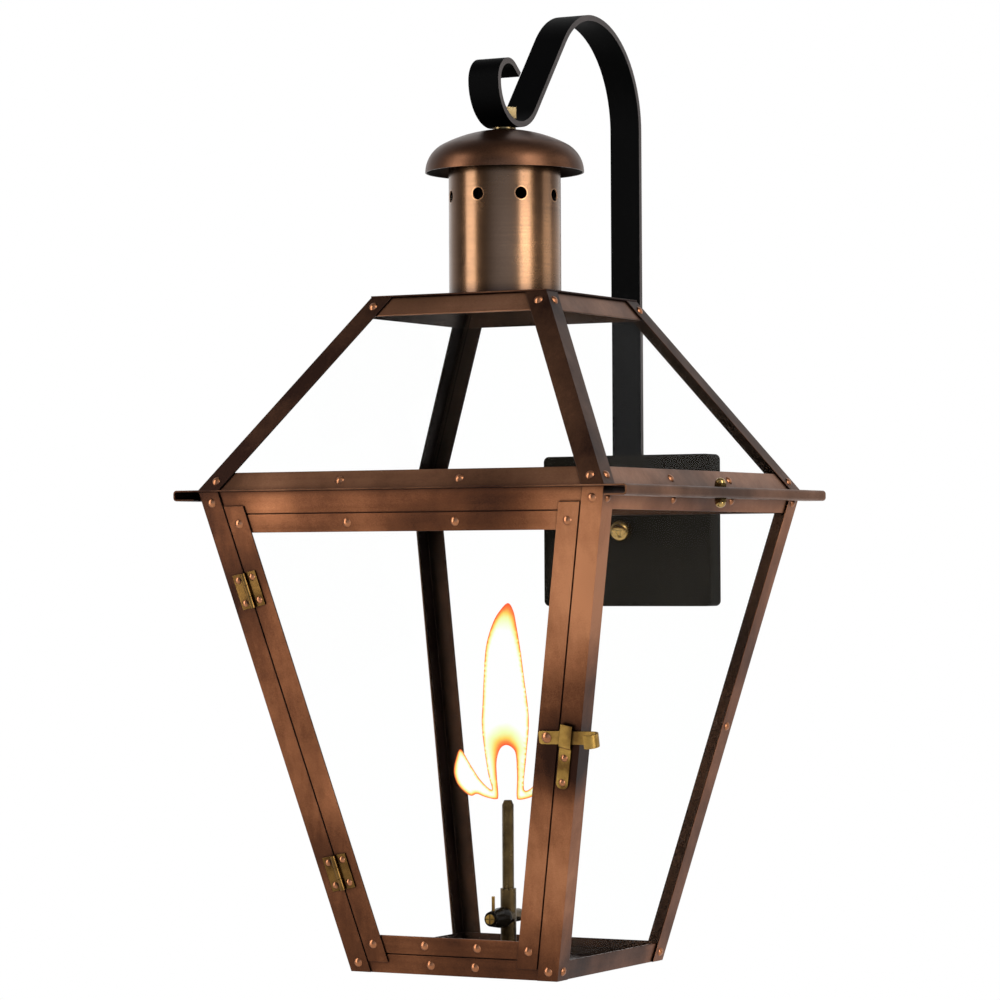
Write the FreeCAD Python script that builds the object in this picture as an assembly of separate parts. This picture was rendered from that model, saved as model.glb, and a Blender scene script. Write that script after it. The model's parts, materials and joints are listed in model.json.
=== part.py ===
import FreeCAD, Part
import math
import os

from FreeCAD import Matrix, Vector

# Copper gas lantern on a wall bracket, in millimetres.
# The origin is the middle of the wall pan's back, +Z is up and the lantern stands out along -Y.
AXIS_OUT = 249.0
EAVE_UP = 33.0

# Body and roof, over the outside corners
EAVE_HALF = 190.0
FOOT_HALF = 98.0
BODY_H = 405.0
CROWN_HALF = 84.0
ROOF_H = 163.0

# Sheet strips of the frame, widths measured along the sheet
SHEET = 1.6
POST_W = 18.5
HIP_W = 17.5
ROOF_RAIL_W = 18.5
RING_W = 18.0
TOP_RAIL_W = 19.0
BOTTOM_RAIL_W = 16.0

# Shelf tray between roof and body
SHELF_T = 1.5
SHELF_LIP = 4.0
LEDGE_OUT = 22.0
LEDGE_H = 9.0
LEDGE_BEND_R = 2.2
LEDGE_GAP = 1.8
WINDOW_IN = 22.0

# Glass
GLASS_T = 3.0
GLASS_BED = 0.1
PANE_CORNER = 2.0
PANE_EDGE = 4.0

# Floor pan
PAN_T = 1.2
PAN_UP = 1.0
PAN_LIP = 8.0
PAN_BED = 0.05

# Chimney
CROWN_PLATE_T = 1.5
CHIMNEY_R = 48.0
CHIMNEY_T = 1.2
CHIMNEY_H = 120.0
VENT_COUNT = 8
VENT_R = 5.0
VENT_DROP = 34.0
CAP_R = 68.0
CAP_H = 37.0
CAP_T = 1.2
CAP_SHOULDER_R = 27.0
CAP_SIDES = 48
CAP_CROWN_STEPS = 3
CAP_SHOULDER_STEPS = 4
CAP_LAP = 12.5

# Hanger
HANGER_R = 5.0
HANGER_AF = 16.0
HANGER_HEAD_AF = 20.0
HANGER_HEAD_H = 10.0
HANGER_NUT_H = 5.0
HANGER_WASHER_R = 10.0
HANGER_WASHER_T = 1.5
WASHER_SIDES = 24
HANGER_TAIL = 3.0
CROSSBAR_W = 18.0
CROSSBAR_T = 2.5
CROSSBAR_TAB = 8.0
CROSSBAR_BEND_R = 4.0
FIT = 0.1

# Gooseneck strap
STRAP_W = 29.0
STRAP_T = 5.0
APEX_BACK = 140.0
APEX_UP = 420.5
ARCH_FRONT_R = 70.0
THROAT_R = 40.0
CURL_R = 35.0
CURL_TIP_R = 17.5
CURL_TIP_ANGLE = 127.0
CURL_TIP_RUN = 11.0
STRAP_TAIL = 24.0

# Wall pan and its fixing
WALL_W = 168.0
WALL_H = 136.5
WALL_D = 21.0
WALL_T = 1.5
WALL_R = 5.0
BAR_W = 140.0
BAR_H = 32.0
BAR_T = 4.0
BAR_HOLE_GAP = 88.9
BAR_HOLE_R = 3.0
STUD_R = 4.0
SPACER_AF = 14.0
BALL_R = 10.5
BALL_NECK_R = 7.0
BALL_NECK_H = 3.5
BALL_GRIP = 12.0
BALL_SIDES = 24
BALL_STEPS = 6
BALL_TOP_R = 2.0

# Acorn nuts and studs on the ledges
LEDGE_STUD_R = 2.4
ACORN_AF = 9.5
ACORN_HEX_H = 3.6
ACORN_H = 8.0

# Rivets
RIVET_R = 3.2
RIVET_H = 1.9
HEAD_SIDES = 8
HEAD_TOP = 0.55
RIVET_SPREAD_TOP = 112.0
RIVET_SPREAD_FOOT = 42.0
RIVET_MID_DOWN = 209.5

# Door
DOOR_SEAM = 1.2
DOOR_RAIL_GAP = 1.0
DOOR_RAIL_W = 15.5
STILE_W = 18.5
STILE_LAP = 6.5
STOP_T = 1.2
STOP_GRIP = 7.0
STOP_LAP = 3.5
STOP_RUN = 1.0
DOOR_PANE_LAP = 12.0
DOOR_PANE_EDGE = 4.0
DOOR_RIVET_SPREAD_TOP = 101.0
DOOR_RIVET_SPREAD_FOOT = 50.0

# Hinges
HINGE_UPPER = 85.4
HINGE_LOWER = 328.5
LEAF_W = 11.5
LEAF_H = 30.0
LEAF_T = 1.2
KNUCKLE_R = 2.2
KNUCKLE_RISE = 0.4
KNUCKLE_GAP = 0.3
HINGE_PIN_R = 1.1
HINGE_RUN = 0.06
HINGE_GRIP = 0.02
LEAF_RIVET_OUT = 7.0
LEAF_RIVET_IN = 5.0
LEAF_RIVET_R = 2.5
LEAF_RIVET_H = 1.6

# Latch
LATCH_DOWN = 207.7
TONGUE_H = 11.0
TONGUE_T = 1.6
TONGUE_CLEAR = 0.25
TONGUE_TAIL = 7.0
TONGUE_REACH = 42.5
TONGUE_CURL_R = 6.5
TONGUE_END = 2.5
TONGUE_CORNER_R = 2.2
LATCH_PIN_R = 2.0
LATCH_RUN = 0.08
LATCH_HEAD_R = 3.6
KEEPER_W = 10.5
KEEPER_T = 1.5
KEEPER_IN = 11.7
KEEPER_ABOVE = 11.0
KEEPER_BELOW = 44.0
KEEPER_SLOT = 1.0
KEEPER_BEND_R = 2.0
KEEPER_BEND = 45.0
KEEPER_CORNER_R = 4.5
KEEPER_RIVET_UP = 5.5
KEEPER_RIVET_STEP = 21.0

# Burner
BURNER_R = 6.75
BURNER_TOP = 66.0
BURNER_COLLAR_AF = 17.0
BURNER_COLLAR_H = 3.0
BURNER_BELOW = 8.0
INLET_R = 4.5
INLET_DEEP = 10.0
FLOOR_NUT_AF = 22.0
FLOOR_NUT_H = 4.0
TUBE_R = 5.0
TUBE_BORE_R = 3.2
TUBE_H = 75.0
TUBE_SOCKET = 8.0
TIP_H = 4.0
TIP_TOP_R = 3.2
TIP_SIDES = 24
TIP_SLOT = 1.0
TIP_SLOT_DEEP = 3.0

# Burner valve
VALVE_DOWN = 24.0
VALVE_BOSS_R = 7.5
VALVE_BOSS_OUT = 9.0
VALVE_BACK_R = 5.5
VALVE_BACK_OUT = 18.0
STEM_R = 3.5
STEM_RUN = 0.06
STEM_IN = 7.0
KNOB_GAP = 0.4
KNOB_L = 22.0
KNOB_R = 8.6
KNOB_NOSE_R = 6.3
KNOB_SIDES = 24
SCREW_R = 4.2
SCREW_HEAD_H = 1.8
SCREW_SLOT = 1.0
PIN_R = 1.4
PIN_BACK = 4.5
PIN_FOOT = 3.6
PIN_TOP = 19.0

UP = Vector(0, 0, 1)
HEX_SIDES = 6
SMALL_ROUND_SIDES = 12
NEAR = 0.01
CORNERS = ["front_right", "back_right", "back_left", "front_left"]
SIDES = ["front", "right", "back", "left"]
BACK_HAND = {"right": 1, "left": -1}
SHAPES = {}


def keep(node, shape):
    """Hand a finished shape in under its node's name."""
    SHAPES[node] = shape


def hang(shape):
    """Move a shape drawn about the lantern's axis at eave height to its place off the wall."""
    return shape.translated(Vector(0, -AXIS_OUT, EAVE_UP))


def quarter_turn(shape, count):
    """Turn a shape about the lantern's axis by quarter turns: front, right, back, left."""
    return shape.rotated(Vector(), UP, 90.0 * count)


def cylinder(radius, base, axis, length):
    return Part.makeCylinder(radius, length, base, axis)


def ring_points(sides, radius, height=0):
    """Corners of a regular polygon about the Z axis."""
    step = 2 * math.pi / sides
    return [Vector(radius * math.cos(step * i), radius * math.sin(step * i), height) for i in range(sides)]


def prism(sides, across_flats, height, base=Vector(), axis=UP):
    """Regular prism that stands on base along axis."""
    points = ring_points(sides, across_flats / 2 / math.cos(math.pi / sides))
    solid = Part.Face(Part.makePolygon(points + points[:1])).extrude(Vector(0, 0, height))
    solid.Placement = FreeCAD.Placement(base, FreeCAD.Rotation(UP, axis))
    return solid


def turned(points, sides, axis=UP, bored=False):
    """Turned piece in flats from (radius, height) points along axis; a bored one closes its own loop."""
    rings = [ring_points(sides, radius, height) for radius, height in points]
    outlines = [] if bored else [rings[0], rings[-1]]
    for k in range(0 if bored else 1, len(rings)):
        low, high = rings[k - 1], rings[k]
        outlines += [[low[i - 1], low[i], high[i], high[i - 1]] for i in range(sides)]
    faces = [Part.Face(Part.makePolygon(outline + outline[:1])) for outline in outlines]
    solid = Part.makeSolid(Part.makeShell(faces))
    solid.Placement = FreeCAD.Placement(Vector(), FreeCAD.Rotation(UP, axis))
    return solid


def dome_head(radius, height):
    """Rivet head on the XY plane, kept to a few flats because there are many."""
    return turned([(radius, 0), (HEAD_TOP * radius, height)], HEAD_SIDES)


def ribbon(start, heading, moves, thick):
    """Flat strip along straight runs (length, 0) and bends (radius, turn in degrees)."""
    x, y = start
    angle = math.radians(heading)
    sides = {1: [], -1: []}
    ends = []

    def edge_point(px, py, direction, side):
        off = side * thick / 2
        return Vector(px - off * math.sin(direction), py + off * math.cos(direction), 0)

    for size, turn in moves:
        first = {side: edge_point(x, y, angle, side) for side in sides}
        if not ends:
            ends.append(first)
        if turn == 0:
            x += size * math.cos(angle)
            y += size * math.sin(angle)
            for side in sides:
                sides[side].append(Part.makeLine(first[side], edge_point(x, y, angle, side)))
        else:
            hand = math.copysign(1, turn)
            cx = x - hand * size * math.sin(angle)
            cy = y + hand * size * math.cos(angle)
            stops = []
            for part in (0.5, 1.0):
                step = angle + math.radians(turn) * part
                stops.append((cx + hand * size * math.sin(step), cy - hand * size * math.cos(step), step))
            for side in sides:
                middle = edge_point(*stops[0], side)
                last = edge_point(*stops[1], side)
                sides[side].append(Part.Arc(first[side], middle, last).toShape())
            x, y, angle = stops[1]
    ends.append({side: edge_point(x, y, angle, side) for side in sides})
    caps = [Part.makeLine(end[1], end[-1]) for end in ends]
    edges = sides[1] + sides[-1] + caps
    return Part.Face(Part.Wire(Part.__sortEdges__(edges)))


def upright(face, width):
    """Extrude a face drawn as (y, z) to a width centred on x = 0."""
    solid = face.extrude(Vector(0, 0, width)).translated(Vector(0, 0, -width / 2))
    return solid.transformed(Matrix(0, 0, 1, 0, 1, 0, 0, 0, 0, 1, 0, 0))


def crosswise(face, width):
    """Extrude a face drawn as (x, z) to a width centred on y = 0."""
    solid = face.extrude(Vector(0, 0, width)).translated(Vector(0, 0, -width / 2))
    return solid.rotated(Vector(), Vector(1, 0, 0), 90)


class Side:
    """A sloping side seen square on: u runs across, v up the slope from the eave, n outward."""

    def __init__(self, height, end_half):
        run = EAVE_HALF - end_half
        self.length = math.hypot(height, run)
        self.rise = abs(height) / self.length
        self.lean = math.copysign(run / self.length, -height)
        self.tilt = math.degrees(math.atan(self.lean))
        self.low, self.high = sorted((0.0, height))

    def half(self, v):
        """Half the side's width at v."""
        return EAVE_HALF + self.lean * v

    def across(self, width):
        """Length along u of a width measured square to the corner edge."""
        return width * math.hypot(1, self.lean)

    def edge_u(self, v, inset):
        """The u of a line that runs inset from the right-hand corner edge."""
        return self.half(v) - self.across(inset)

    def lay(self, shape):
        """Put a shape drawn in u, v, n on the front side."""
        return shape.transformed(
            Matrix(1, 0, 0, 0, 0, -self.lean, -self.rise, -EAVE_HALF, 0, self.rise, -self.lean, 0)
        )

    def plate(self, outline, depth, thick):
        """Flat plate on an outline of (u, v) points, its outer face depth below the side."""
        points = [Vector(u, v, -depth) for u, v in outline]
        return self.lay(Part.Face(Part.makePolygon(points + points[:1])).extrude(Vector(0, 0, -thick)))

    def quarter(self, low=None, high=None):
        """The front quarter of the space between two heights, bounded by the corner mitres."""
        low = self.low if low is None else low
        high = self.high if high is None else high
        reach = 2 * EAVE_HALF
        corners = [Vector(0, 0, low), Vector(reach, -reach, low), Vector(-reach, -reach, low)]
        return Part.Face(Part.makePolygon(corners + corners[:1])).extrude(Vector(0, 0, high - low))

    def rail(self, v_low, v_high, depth=SHEET, thick=SHEET):
        """Level strip on the front side, mitred at both corners."""
        wide = 1.5 * EAVE_HALF
        outline = [(-wide, v_low), (wide, v_low), (wide, v_high), (-wide, v_high)]
        return self.plate(outline, depth, thick).common(self.quarter())

    def corner_angle(self, width):
        """Angle strip along the front right corner edge."""
        v_low, v_high = self.low / self.rise - width, self.high / self.rise + width
        near = [(self.half(v), v) for v in (v_low, v_high)]
        far = [(self.edge_u(v, width), v) for v in (v_high, v_low)]
        right = self.plate(near + far, 0, SHEET).common(self.quarter())
        left = right.mirror(Vector(), Vector(1, 0, 0))
        return right.fuse(quarter_turn(left, 1)).removeSplitter()

    def pane(self, v_low, v_high):
        """Glass behind the rails, clear of its neighbours at the corners."""
        depth = 2 * SHEET + GLASS_BED
        inset = self.rise * (depth + GLASS_T) + PANE_CORNER
        low_u = self.half(v_low) - inset
        high_u = self.half(v_high) - inset
        outline = [(-low_u, v_low), (low_u, v_low), (high_u, v_high), (-high_u, v_high)]
        return self.plate(outline, depth, GLASS_T)

    def rivet(self, u, v, n, radius=RIVET_R, height=RIVET_H):
        """Rivet head seated at depth n on the front side."""
        return self.lay(dome_head(radius, height).translated(Vector(u, v, n)))


BODY = Side(-BODY_H, FOOT_HALF)
ROOF = Side(ROOF_H, CROWN_HALF)
BODY.high = -SHELF_T

# Levels along the body's slope
TOP_RAIL_V = -SHELF_T / BODY.rise - TOP_RAIL_W
BOTTOM_RAIL_V = -BODY.length + BOTTOM_RAIL_W
PAN_LIP_V = -BODY.length + PAN_LIP
DOOR_TOP_V = TOP_RAIL_V - DOOR_RAIL_GAP
DOOR_FOOT_V = BOTTOM_RAIL_V + DOOR_RAIL_GAP
POST_TOP_V = -SHELF_T / BODY.rise - TOP_RAIL_W / 2
POST_FOOT_V = -BODY.length + BOTTOM_RAIL_W / 2
STILE_IN = POST_W + DOOR_SEAM
STILE_MID = STILE_IN + STILE_W / 2

# Heights above the eave
CROWN_UP = ROOF_H + CROWN_PLATE_T
CHIMNEY_UP = CROWN_UP + CHIMNEY_H
CAP_RIM_UP = CHIMNEY_UP - CAP_LAP
CAP_UP = CAP_RIM_UP + CAP_H
STRAP_LOW_UP = CAP_UP + HANGER_WASHER_T
FLOOR_UP = -BODY_H + PAN_UP
BURNER_UP = -BODY_H + BURNER_TOP
VALVE_UP = BURNER_UP - VALVE_DOWN
STRAP_Y = -(WALL_D - WALL_T - STRAP_T / 2)


def roof():
    ring = [quarter_turn(ROOF.rail(ROOF.length - RING_W, ROOF.length + RING_W), i) for i in range(4)]
    keep("roof_ring", hang(ring[0].multiFuse(ring[1:]).removeSplitter()))
    hip = ROOF.corner_angle(HIP_W)
    rail = ROOF.rail(-ROOF_RAIL_W, ROOF_RAIL_W)
    depth = 2 * SHEET + GLASS_BED + GLASS_T
    pane = ROOF.pane((PANE_EDGE - ROOF.lean * depth) / ROOF.rise, ROOF.length - PANE_EDGE)
    for i in range(4):
        keep("roof_hip_" + CORNERS[i], hang(quarter_turn(hip, i)))
        keep("roof_rail_" + SIDES[i], hang(quarter_turn(rail, i)))
    keep("roof_glass", hang(Part.Compound([quarter_turn(pane, i) for i in range(4)])))
    side = 2 * CROWN_HALF
    plate = Part.makeBox(side, side, CROWN_PLATE_T, Vector(-CROWN_HALF, -CROWN_HALF, ROOF_H))
    flue = cylinder(CHIMNEY_R - CHIMNEY_T, Vector(0, 0, ROOF_H), UP, CROWN_PLATE_T)
    keep("roof_top_plate", hang(plate.cut(flue)))


def chimney():
    base = Vector(0, 0, CROWN_UP)
    tube = cylinder(CHIMNEY_R, base, UP, CHIMNEY_H).cut(cylinder(CHIMNEY_R - CHIMNEY_T, base, UP, CHIMNEY_H))
    for i in range(VENT_COUNT):
        turn = math.radians(360 * i / VENT_COUNT - 90)
        out = Vector(math.cos(turn), math.sin(turn), 0)
        drill = prism(SMALL_ROUND_SIDES, 2 * VENT_R, 2 * CHIMNEY_R, Vector(0, 0, CHIMNEY_UP - VENT_DROP), out)
        tube = tube.cut(drill)
    keep("chimney_tube", hang(tube))

    keep("chimney_cap", hang(turned(cap_profile(0) + cap_profile(CAP_T)[::-1], CAP_SIDES, bored=True)))


def cap_profile(inset):
    """Points (radius, height) down a face of the cap: a wide crown arc, then the shoulder arc to the rim."""
    shoulder_x = CAP_R - CAP_SHOULDER_R
    crown_r = (shoulder_x**2 + CAP_H**2 - CAP_SHOULDER_R**2) / (2 * (CAP_H - CAP_SHOULDER_R))
    crown_z = CAP_UP - crown_r
    meet = math.atan2(CAP_RIM_UP - crown_z, shoulder_x)
    first = math.acos((HANGER_R + FIT) / (crown_r - inset))
    points = []
    for i in range(CAP_CROWN_STEPS):
        turn = first + (meet - first) * i / CAP_CROWN_STEPS
        points.append(((crown_r - inset) * math.cos(turn), crown_z + (crown_r - inset) * math.sin(turn)))
    for i in range(CAP_SHOULDER_STEPS + 1):
        turn = meet * (1 - i / CAP_SHOULDER_STEPS)
        reach = CAP_SHOULDER_R - inset
        points.append((shoulder_x + reach * math.cos(turn), CAP_RIM_UP + reach * math.sin(turn)))
    return points


def hanger():
    bar_top = CHIMNEY_UP - CROSSBAR_TAB / 2
    tab_x = math.sqrt((CHIMNEY_R - CHIMNEY_T) ** 2 - (CROSSBAR_W / 2) ** 2) - FIT - CROSSBAR_T / 2
    bar_mid = bar_top - CROSSBAR_T / 2
    span = 2 * (tab_x - CROSSBAR_BEND_R)
    bend = (CROSSBAR_BEND_R, -90)
    start = (-tab_x, bar_mid - CROSSBAR_BEND_R - CROSSBAR_TAB)
    strip = ribbon(start, 90, [(CROSSBAR_TAB, 0), bend, (span, 0), bend, (CROSSBAR_TAB, 0)], CROSSBAR_T)
    hole = cylinder(HANGER_R + FIT, Vector(0, 0, bar_top - 2 * CROSSBAR_T), UP, 3 * CROSSBAR_T)
    keep("hanger_crossbar", hang(crosswise(strip, CROSSBAR_W).cut(hole)))

    corner = HANGER_AF / math.sqrt(3)
    (r0, z0), (r1, z1) = cap_profile(CAP_T)[:2]
    under_cap = z0 + (z1 - z0) * (corner - r0) / (r1 - r0) - FIT
    nuts = []
    for top in (under_cap, bar_top - CROSSBAR_T):
        base = Vector(0, 0, top - HANGER_NUT_H)
        nut = prism(HEX_SIDES, HANGER_AF, HANGER_NUT_H, base)
        nuts.append(nut.cut(prism(SMALL_ROUND_SIDES, 2 * HANGER_R + FIT, HANGER_NUT_H, base)))
    keep("hanger_nuts", hang(Part.Compound(nuts)))

    section = [(HANGER_R + FIT, 0), (HANGER_WASHER_R, 0)]
    section += [(r, HANGER_WASHER_T) for r, h in reversed(section)]
    washer = turned(section, WASHER_SIDES, bored=True)
    keep("hanger_washer", hang(washer.translated(Vector(0, 0, CAP_UP))))

    inner_r = CURL_R - STRAP_T / 2
    head_corner = HANGER_HEAD_AF / math.sqrt(3)
    head_z = STRAP_LOW_UP + STRAP_T + inner_r - math.sqrt(inner_r**2 - head_corner**2)
    tail_z = bar_top - CROSSBAR_T - HANGER_NUT_H - HANGER_TAIL
    bolt = cylinder(HANGER_R, Vector(0, 0, tail_z), UP, head_z - tail_z)
    bolt = bolt.fuse(prism(HEX_SIDES, HANGER_HEAD_AF, HANGER_HEAD_H, Vector(0, 0, head_z)))
    keep("hanger_bolt", hang(bolt.removeSplitter()))


def gooseneck():
    reach = AXIS_OUT + STRAP_Y
    low = STRAP_LOW_UP + STRAP_T / 2
    arch_back_r = reach - APEX_BACK
    drop = (APEX_UP - ARCH_FRONT_R) - (low + THROAT_R)
    apart = math.hypot(APEX_BACK, drop)
    radii = ARCH_FRONT_R + THROAT_R
    slope = math.degrees(math.asin(radii / apart) + math.atan2(drop, APEX_BACK))
    foot = -EAVE_UP - STRAP_TAIL
    moves = [
        (APEX_UP - arch_back_r - foot, 0),
        (arch_back_r, 90),
        (ARCH_FRONT_R, slope),
        (math.sqrt(apart**2 - radii**2), 0),
        (THROAT_R, -slope),
        (CURL_R, -90),
        (CURL_TIP_R, -CURL_TIP_ANGLE),
        (CURL_TIP_RUN, 0),
    ]
    strap = upright(ribbon((reach, foot), 90, moves, STRAP_T), STRAP_W)
    strap = strap.cut(cylinder(HANGER_R + FIT, Vector(0, 0, STRAP_LOW_UP - STRAP_T), UP, 3 * STRAP_T))
    stud = cylinder(STUD_R + FIT, Vector(0, reach - STRAP_T, -EAVE_UP), Vector(0, 1, 0), 2 * STRAP_T)
    keep("gooseneck_strap", hang(strap.cut(stud)))


def rounded_box(width, height, radius, y_front, y_back):
    """Box about the wall fixing, rounded on its four edges along Y."""
    box = Part.makeBox(width, y_back - y_front, height, Vector(-width / 2, y_front, -height / 2))
    edges = [e for e in box.Edges if abs(e.tangentAt(e.FirstParameter).y) > 0.5]
    return box.makeFillet(radius, edges)


def wall_fixing():
    out = Vector(0, -1, 0)
    pan = rounded_box(WALL_W, WALL_H, WALL_R, -WALL_D, 0)
    inner = rounded_box(WALL_W - 2 * WALL_T, WALL_H - 2 * WALL_T, WALL_R - WALL_T, WALL_T - WALL_D, WALL_T)
    slot_w = STRAP_W + 2 * FIT
    slot_y = STRAP_Y - STRAP_T / 2
    slot = Part.makeBox(slot_w, STRAP_T + FIT, WALL_H, Vector(-slot_w / 2, slot_y, 0))
    pan = pan.cut(inner).cut(slot).cut(cylinder(STUD_R + FIT, Vector(), out, WALL_D))
    keep("wall_pan", pan)

    bar = Part.makeBox(BAR_W, BAR_T, BAR_H, Vector(-BAR_W / 2, -BAR_T, -BAR_H / 2))
    bar = bar.cut(prism(SMALL_ROUND_SIDES, 2 * STUD_R + FIT, BAR_T, Vector(), out))
    for x in (-BAR_HOLE_GAP / 2, BAR_HOLE_GAP / 2):
        bar = bar.cut(cylinder(BAR_HOLE_R, Vector(x, 0, 0), out, BAR_T))
    keep("wall_bar", bar)

    strap_back = STRAP_Y + STRAP_T / 2
    spacer_l = -BAR_T - strap_back
    base = Vector(0, -BAR_T, 0)
    bore = prism(SMALL_ROUND_SIDES, 2 * (STUD_R + FIT), spacer_l, base, out)
    keep("stud_spacer", prism(HEX_SIDES, SPACER_AF, spacer_l, base, out).cut(bore))

    keep("wall_stud", cylinder(STUD_R, Vector(), out, WALL_D + BALL_GRIP))
    centre = BALL_NECK_H + math.sqrt(BALL_R**2 - BALL_NECK_R**2)
    first = -math.acos(BALL_NECK_R / BALL_R)
    last = math.acos(BALL_TOP_R / BALL_R)
    outline = [(BALL_NECK_R, 0)]
    for i in range(BALL_STEPS + 1):
        turn = first + (last - first) * i / BALL_STEPS
        outline.append((BALL_R * math.cos(turn), centre + BALL_R * math.sin(turn)))
    bore = prism(SMALL_ROUND_SIDES, 2 * STUD_R + FIT, BALL_GRIP + FIT, Vector(), out)
    keep("ball_nut", turned(outline, BALL_SIDES, out).cut(bore).translated(Vector(0, -WALL_D, 0)))


def shelf():
    half_x = EAVE_HALF + LEDGE_OUT
    half_y = EAVE_HALF + SHELF_LIP
    web = LEDGE_H - SHELF_T - 2 * LEDGE_BEND_R
    fold_x = half_x - SHELF_T / 2 - LEDGE_BEND_R
    lip = fold_x - EAVE_HALF - LEDGE_GAP
    bend = (LEDGE_BEND_R, -90)
    moves = [(lip, 0), bend, (web, 0), bend, (2 * fold_x, 0), bend, (web, 0), bend, (lip, 0)]
    start = (-fold_x + lip, SHELF_T / 2 - LEDGE_H)
    tray = crosswise(ribbon(start, 180, moves, SHELF_T), 2 * half_y)
    window = EAVE_HALF - WINDOW_IN
    tray = tray.cut(Part.makeBox(2 * window, 2 * window, LEDGE_H, Vector(-window, -window, -LEDGE_H / 2)))
    stud_x = EAVE_HALF + LEDGE_OUT / 2 + LEDGE_GAP / 2
    studs = []
    nuts = []
    for x in (-stud_x, stud_x):
        under = Vector(x, 0, -LEDGE_H)
        tray = tray.cut(prism(SMALL_ROUND_SIDES, 2 * (LEDGE_STUD_R + FIT), LEDGE_H, under))
        studs.append(prism(SMALL_ROUND_SIDES, 2 * LEDGE_STUD_R, LEDGE_H, under))
        for base, way in ((Vector(x, 0, 0), UP), (under, -UP)):
            nuts.append(acorn_nut(base, way))
    keep("shelf_tray", hang(tray))
    keep("ledge_studs", hang(Part.Compound(studs)))
    keep("acorn_nuts", hang(Part.Compound(nuts)))


def acorn_nut(base, axis):
    """Cap nut: a hexagon with a round crown."""
    crown = dome_head(ACORN_AF / 2, ACORN_H - ACORN_HEX_H).translated(Vector(0, 0, ACORN_HEX_H))
    nut = prism(HEX_SIDES, ACORN_AF, ACORN_HEX_H).fuse(crown)
    nut.Placement = FreeCAD.Placement(base, FreeCAD.Rotation(UP, axis))
    return nut


def body():
    post = BODY.corner_angle(POST_W)
    top = BODY.rail(TOP_RAIL_V, TOP_RAIL_W)
    foot = BODY.rail(-BODY.length - BOTTOM_RAIL_W, BOTTOM_RAIL_V)
    for i in range(4):
        keep("corner_post_" + CORNERS[i], hang(quarter_turn(post, i)))
        keep("top_rail_" + SIDES[i], hang(quarter_turn(top, i)))
        keep("bottom_rail_" + SIDES[i], hang(quarter_turn(foot, i)))
    pane = BODY.pane(PAN_LIP_V + PANE_CORNER, -SHELF_T - PANE_EDGE)
    keep("body_glass", hang(Part.Compound([quarter_turn(pane, i) for i in (1, 2, 3)])))

    depth = 2 * SHEET + PAN_BED
    floor_half = EAVE_HALF + FLOOR_UP * (EAVE_HALF - FOOT_HALF) / BODY_H - depth / BODY.rise
    pan = Part.makeBox(2 * floor_half, 2 * floor_half, PAN_T, Vector(-floor_half, -floor_half, FLOOR_UP))
    wide = EAVE_HALF
    deep = -BODY.length - wide
    outline = [(-wide, deep), (wide, deep), (wide, PAN_LIP_V), (-wide, PAN_LIP_V)]
    lip = BODY.plate(outline, depth, PAN_T).common(BODY.quarter(FLOOR_UP))
    pan = pan.multiFuse([quarter_turn(lip, i) for i in range(4)]).removeSplitter()
    keep("floor_pan", hang(pan.cut(cylinder(BURNER_R + FIT, Vector(0, 0, FLOOR_UP), UP, PAN_T))))


def spread(gap):
    return (-gap / 2, gap / 2)


def rivets():
    heads = []
    for i in range(4):
        on_side = []
        for hand in (-1, 1):
            for v in (POST_TOP_V, POST_FOOT_V):
                on_side.append(BODY.rivet(hand * BODY.edge_u(v, POST_W / 2), v, 0))
            for v in (ROOF_RAIL_W / 2, ROOF.length - RING_W / 2):
                on_side.append(ROOF.rivet(hand * ROOF.edge_u(v, HIP_W / 2), v, 0))
        for u in spread(RIVET_SPREAD_TOP):
            on_side.append(ROOF.rivet(u, ROOF_RAIL_W / 2, -SHEET))
            if SIDES[i] != "front":
                on_side.append(BODY.rivet(u, POST_TOP_V, -SHEET))
        if SIDES[i] in ("front", "back"):
            for u in spread(RIVET_SPREAD_FOOT):
                on_side.append(BODY.rivet(u, POST_FOOT_V, -SHEET))
        if SIDES[i] in BACK_HAND:
            v = -RIVET_MID_DOWN
            on_side.append(BODY.rivet(BACK_HAND[SIDES[i]] * BODY.edge_u(v, POST_W / 2), v, 0))
        heads += [quarter_turn(head, i) for head in on_side]
    for level in (HINGE_UPPER, HINGE_LOWER):
        heads += leaf_rivets(-1, level)
    for step in (0, 1):
        drop = -KEEPER_BELOW + KEEPER_RIVET_UP + step * KEEPER_RIVET_STEP
        head = dome_head(LEAF_RIVET_R, LEAF_RIVET_H).translated(Vector(0, drop, KEEPER_T))
        heads.append(BODY.lay(on_right_post(head)))
    keep("frame_rivets", hang(Part.Compound(heads)))


def on_left_seam(shape, level):
    """Turn a hinge piece to the slant of the left seam and bring it to its level."""
    v = -level
    place = Vector(-BODY.edge_u(v, STILE_IN - DOOR_SEAM / 2), v, 0)
    return shape.rotated(Vector(), UP, BODY.tilt).translated(place)


def on_right_post(shape):
    """Turn a keeper piece to the slant of the front right post and bring it to the latch."""
    v = -LATCH_DOWN
    return shape.rotated(Vector(), UP, -BODY.tilt).translated(Vector(BODY.edge_u(v, KEEPER_IN), v, 0))


def leaf_rivets(hand, level):
    heads = []
    for up in spread(LEAF_H - 2 * LEAF_RIVET_IN):
        place = Vector(hand * LEAF_RIVET_OUT, up, LEAF_T)
        head = dome_head(LEAF_RIVET_R, LEAF_RIVET_H).translated(place)
        heads.append(BODY.lay(on_left_seam(head, level)))
    return heads


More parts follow.
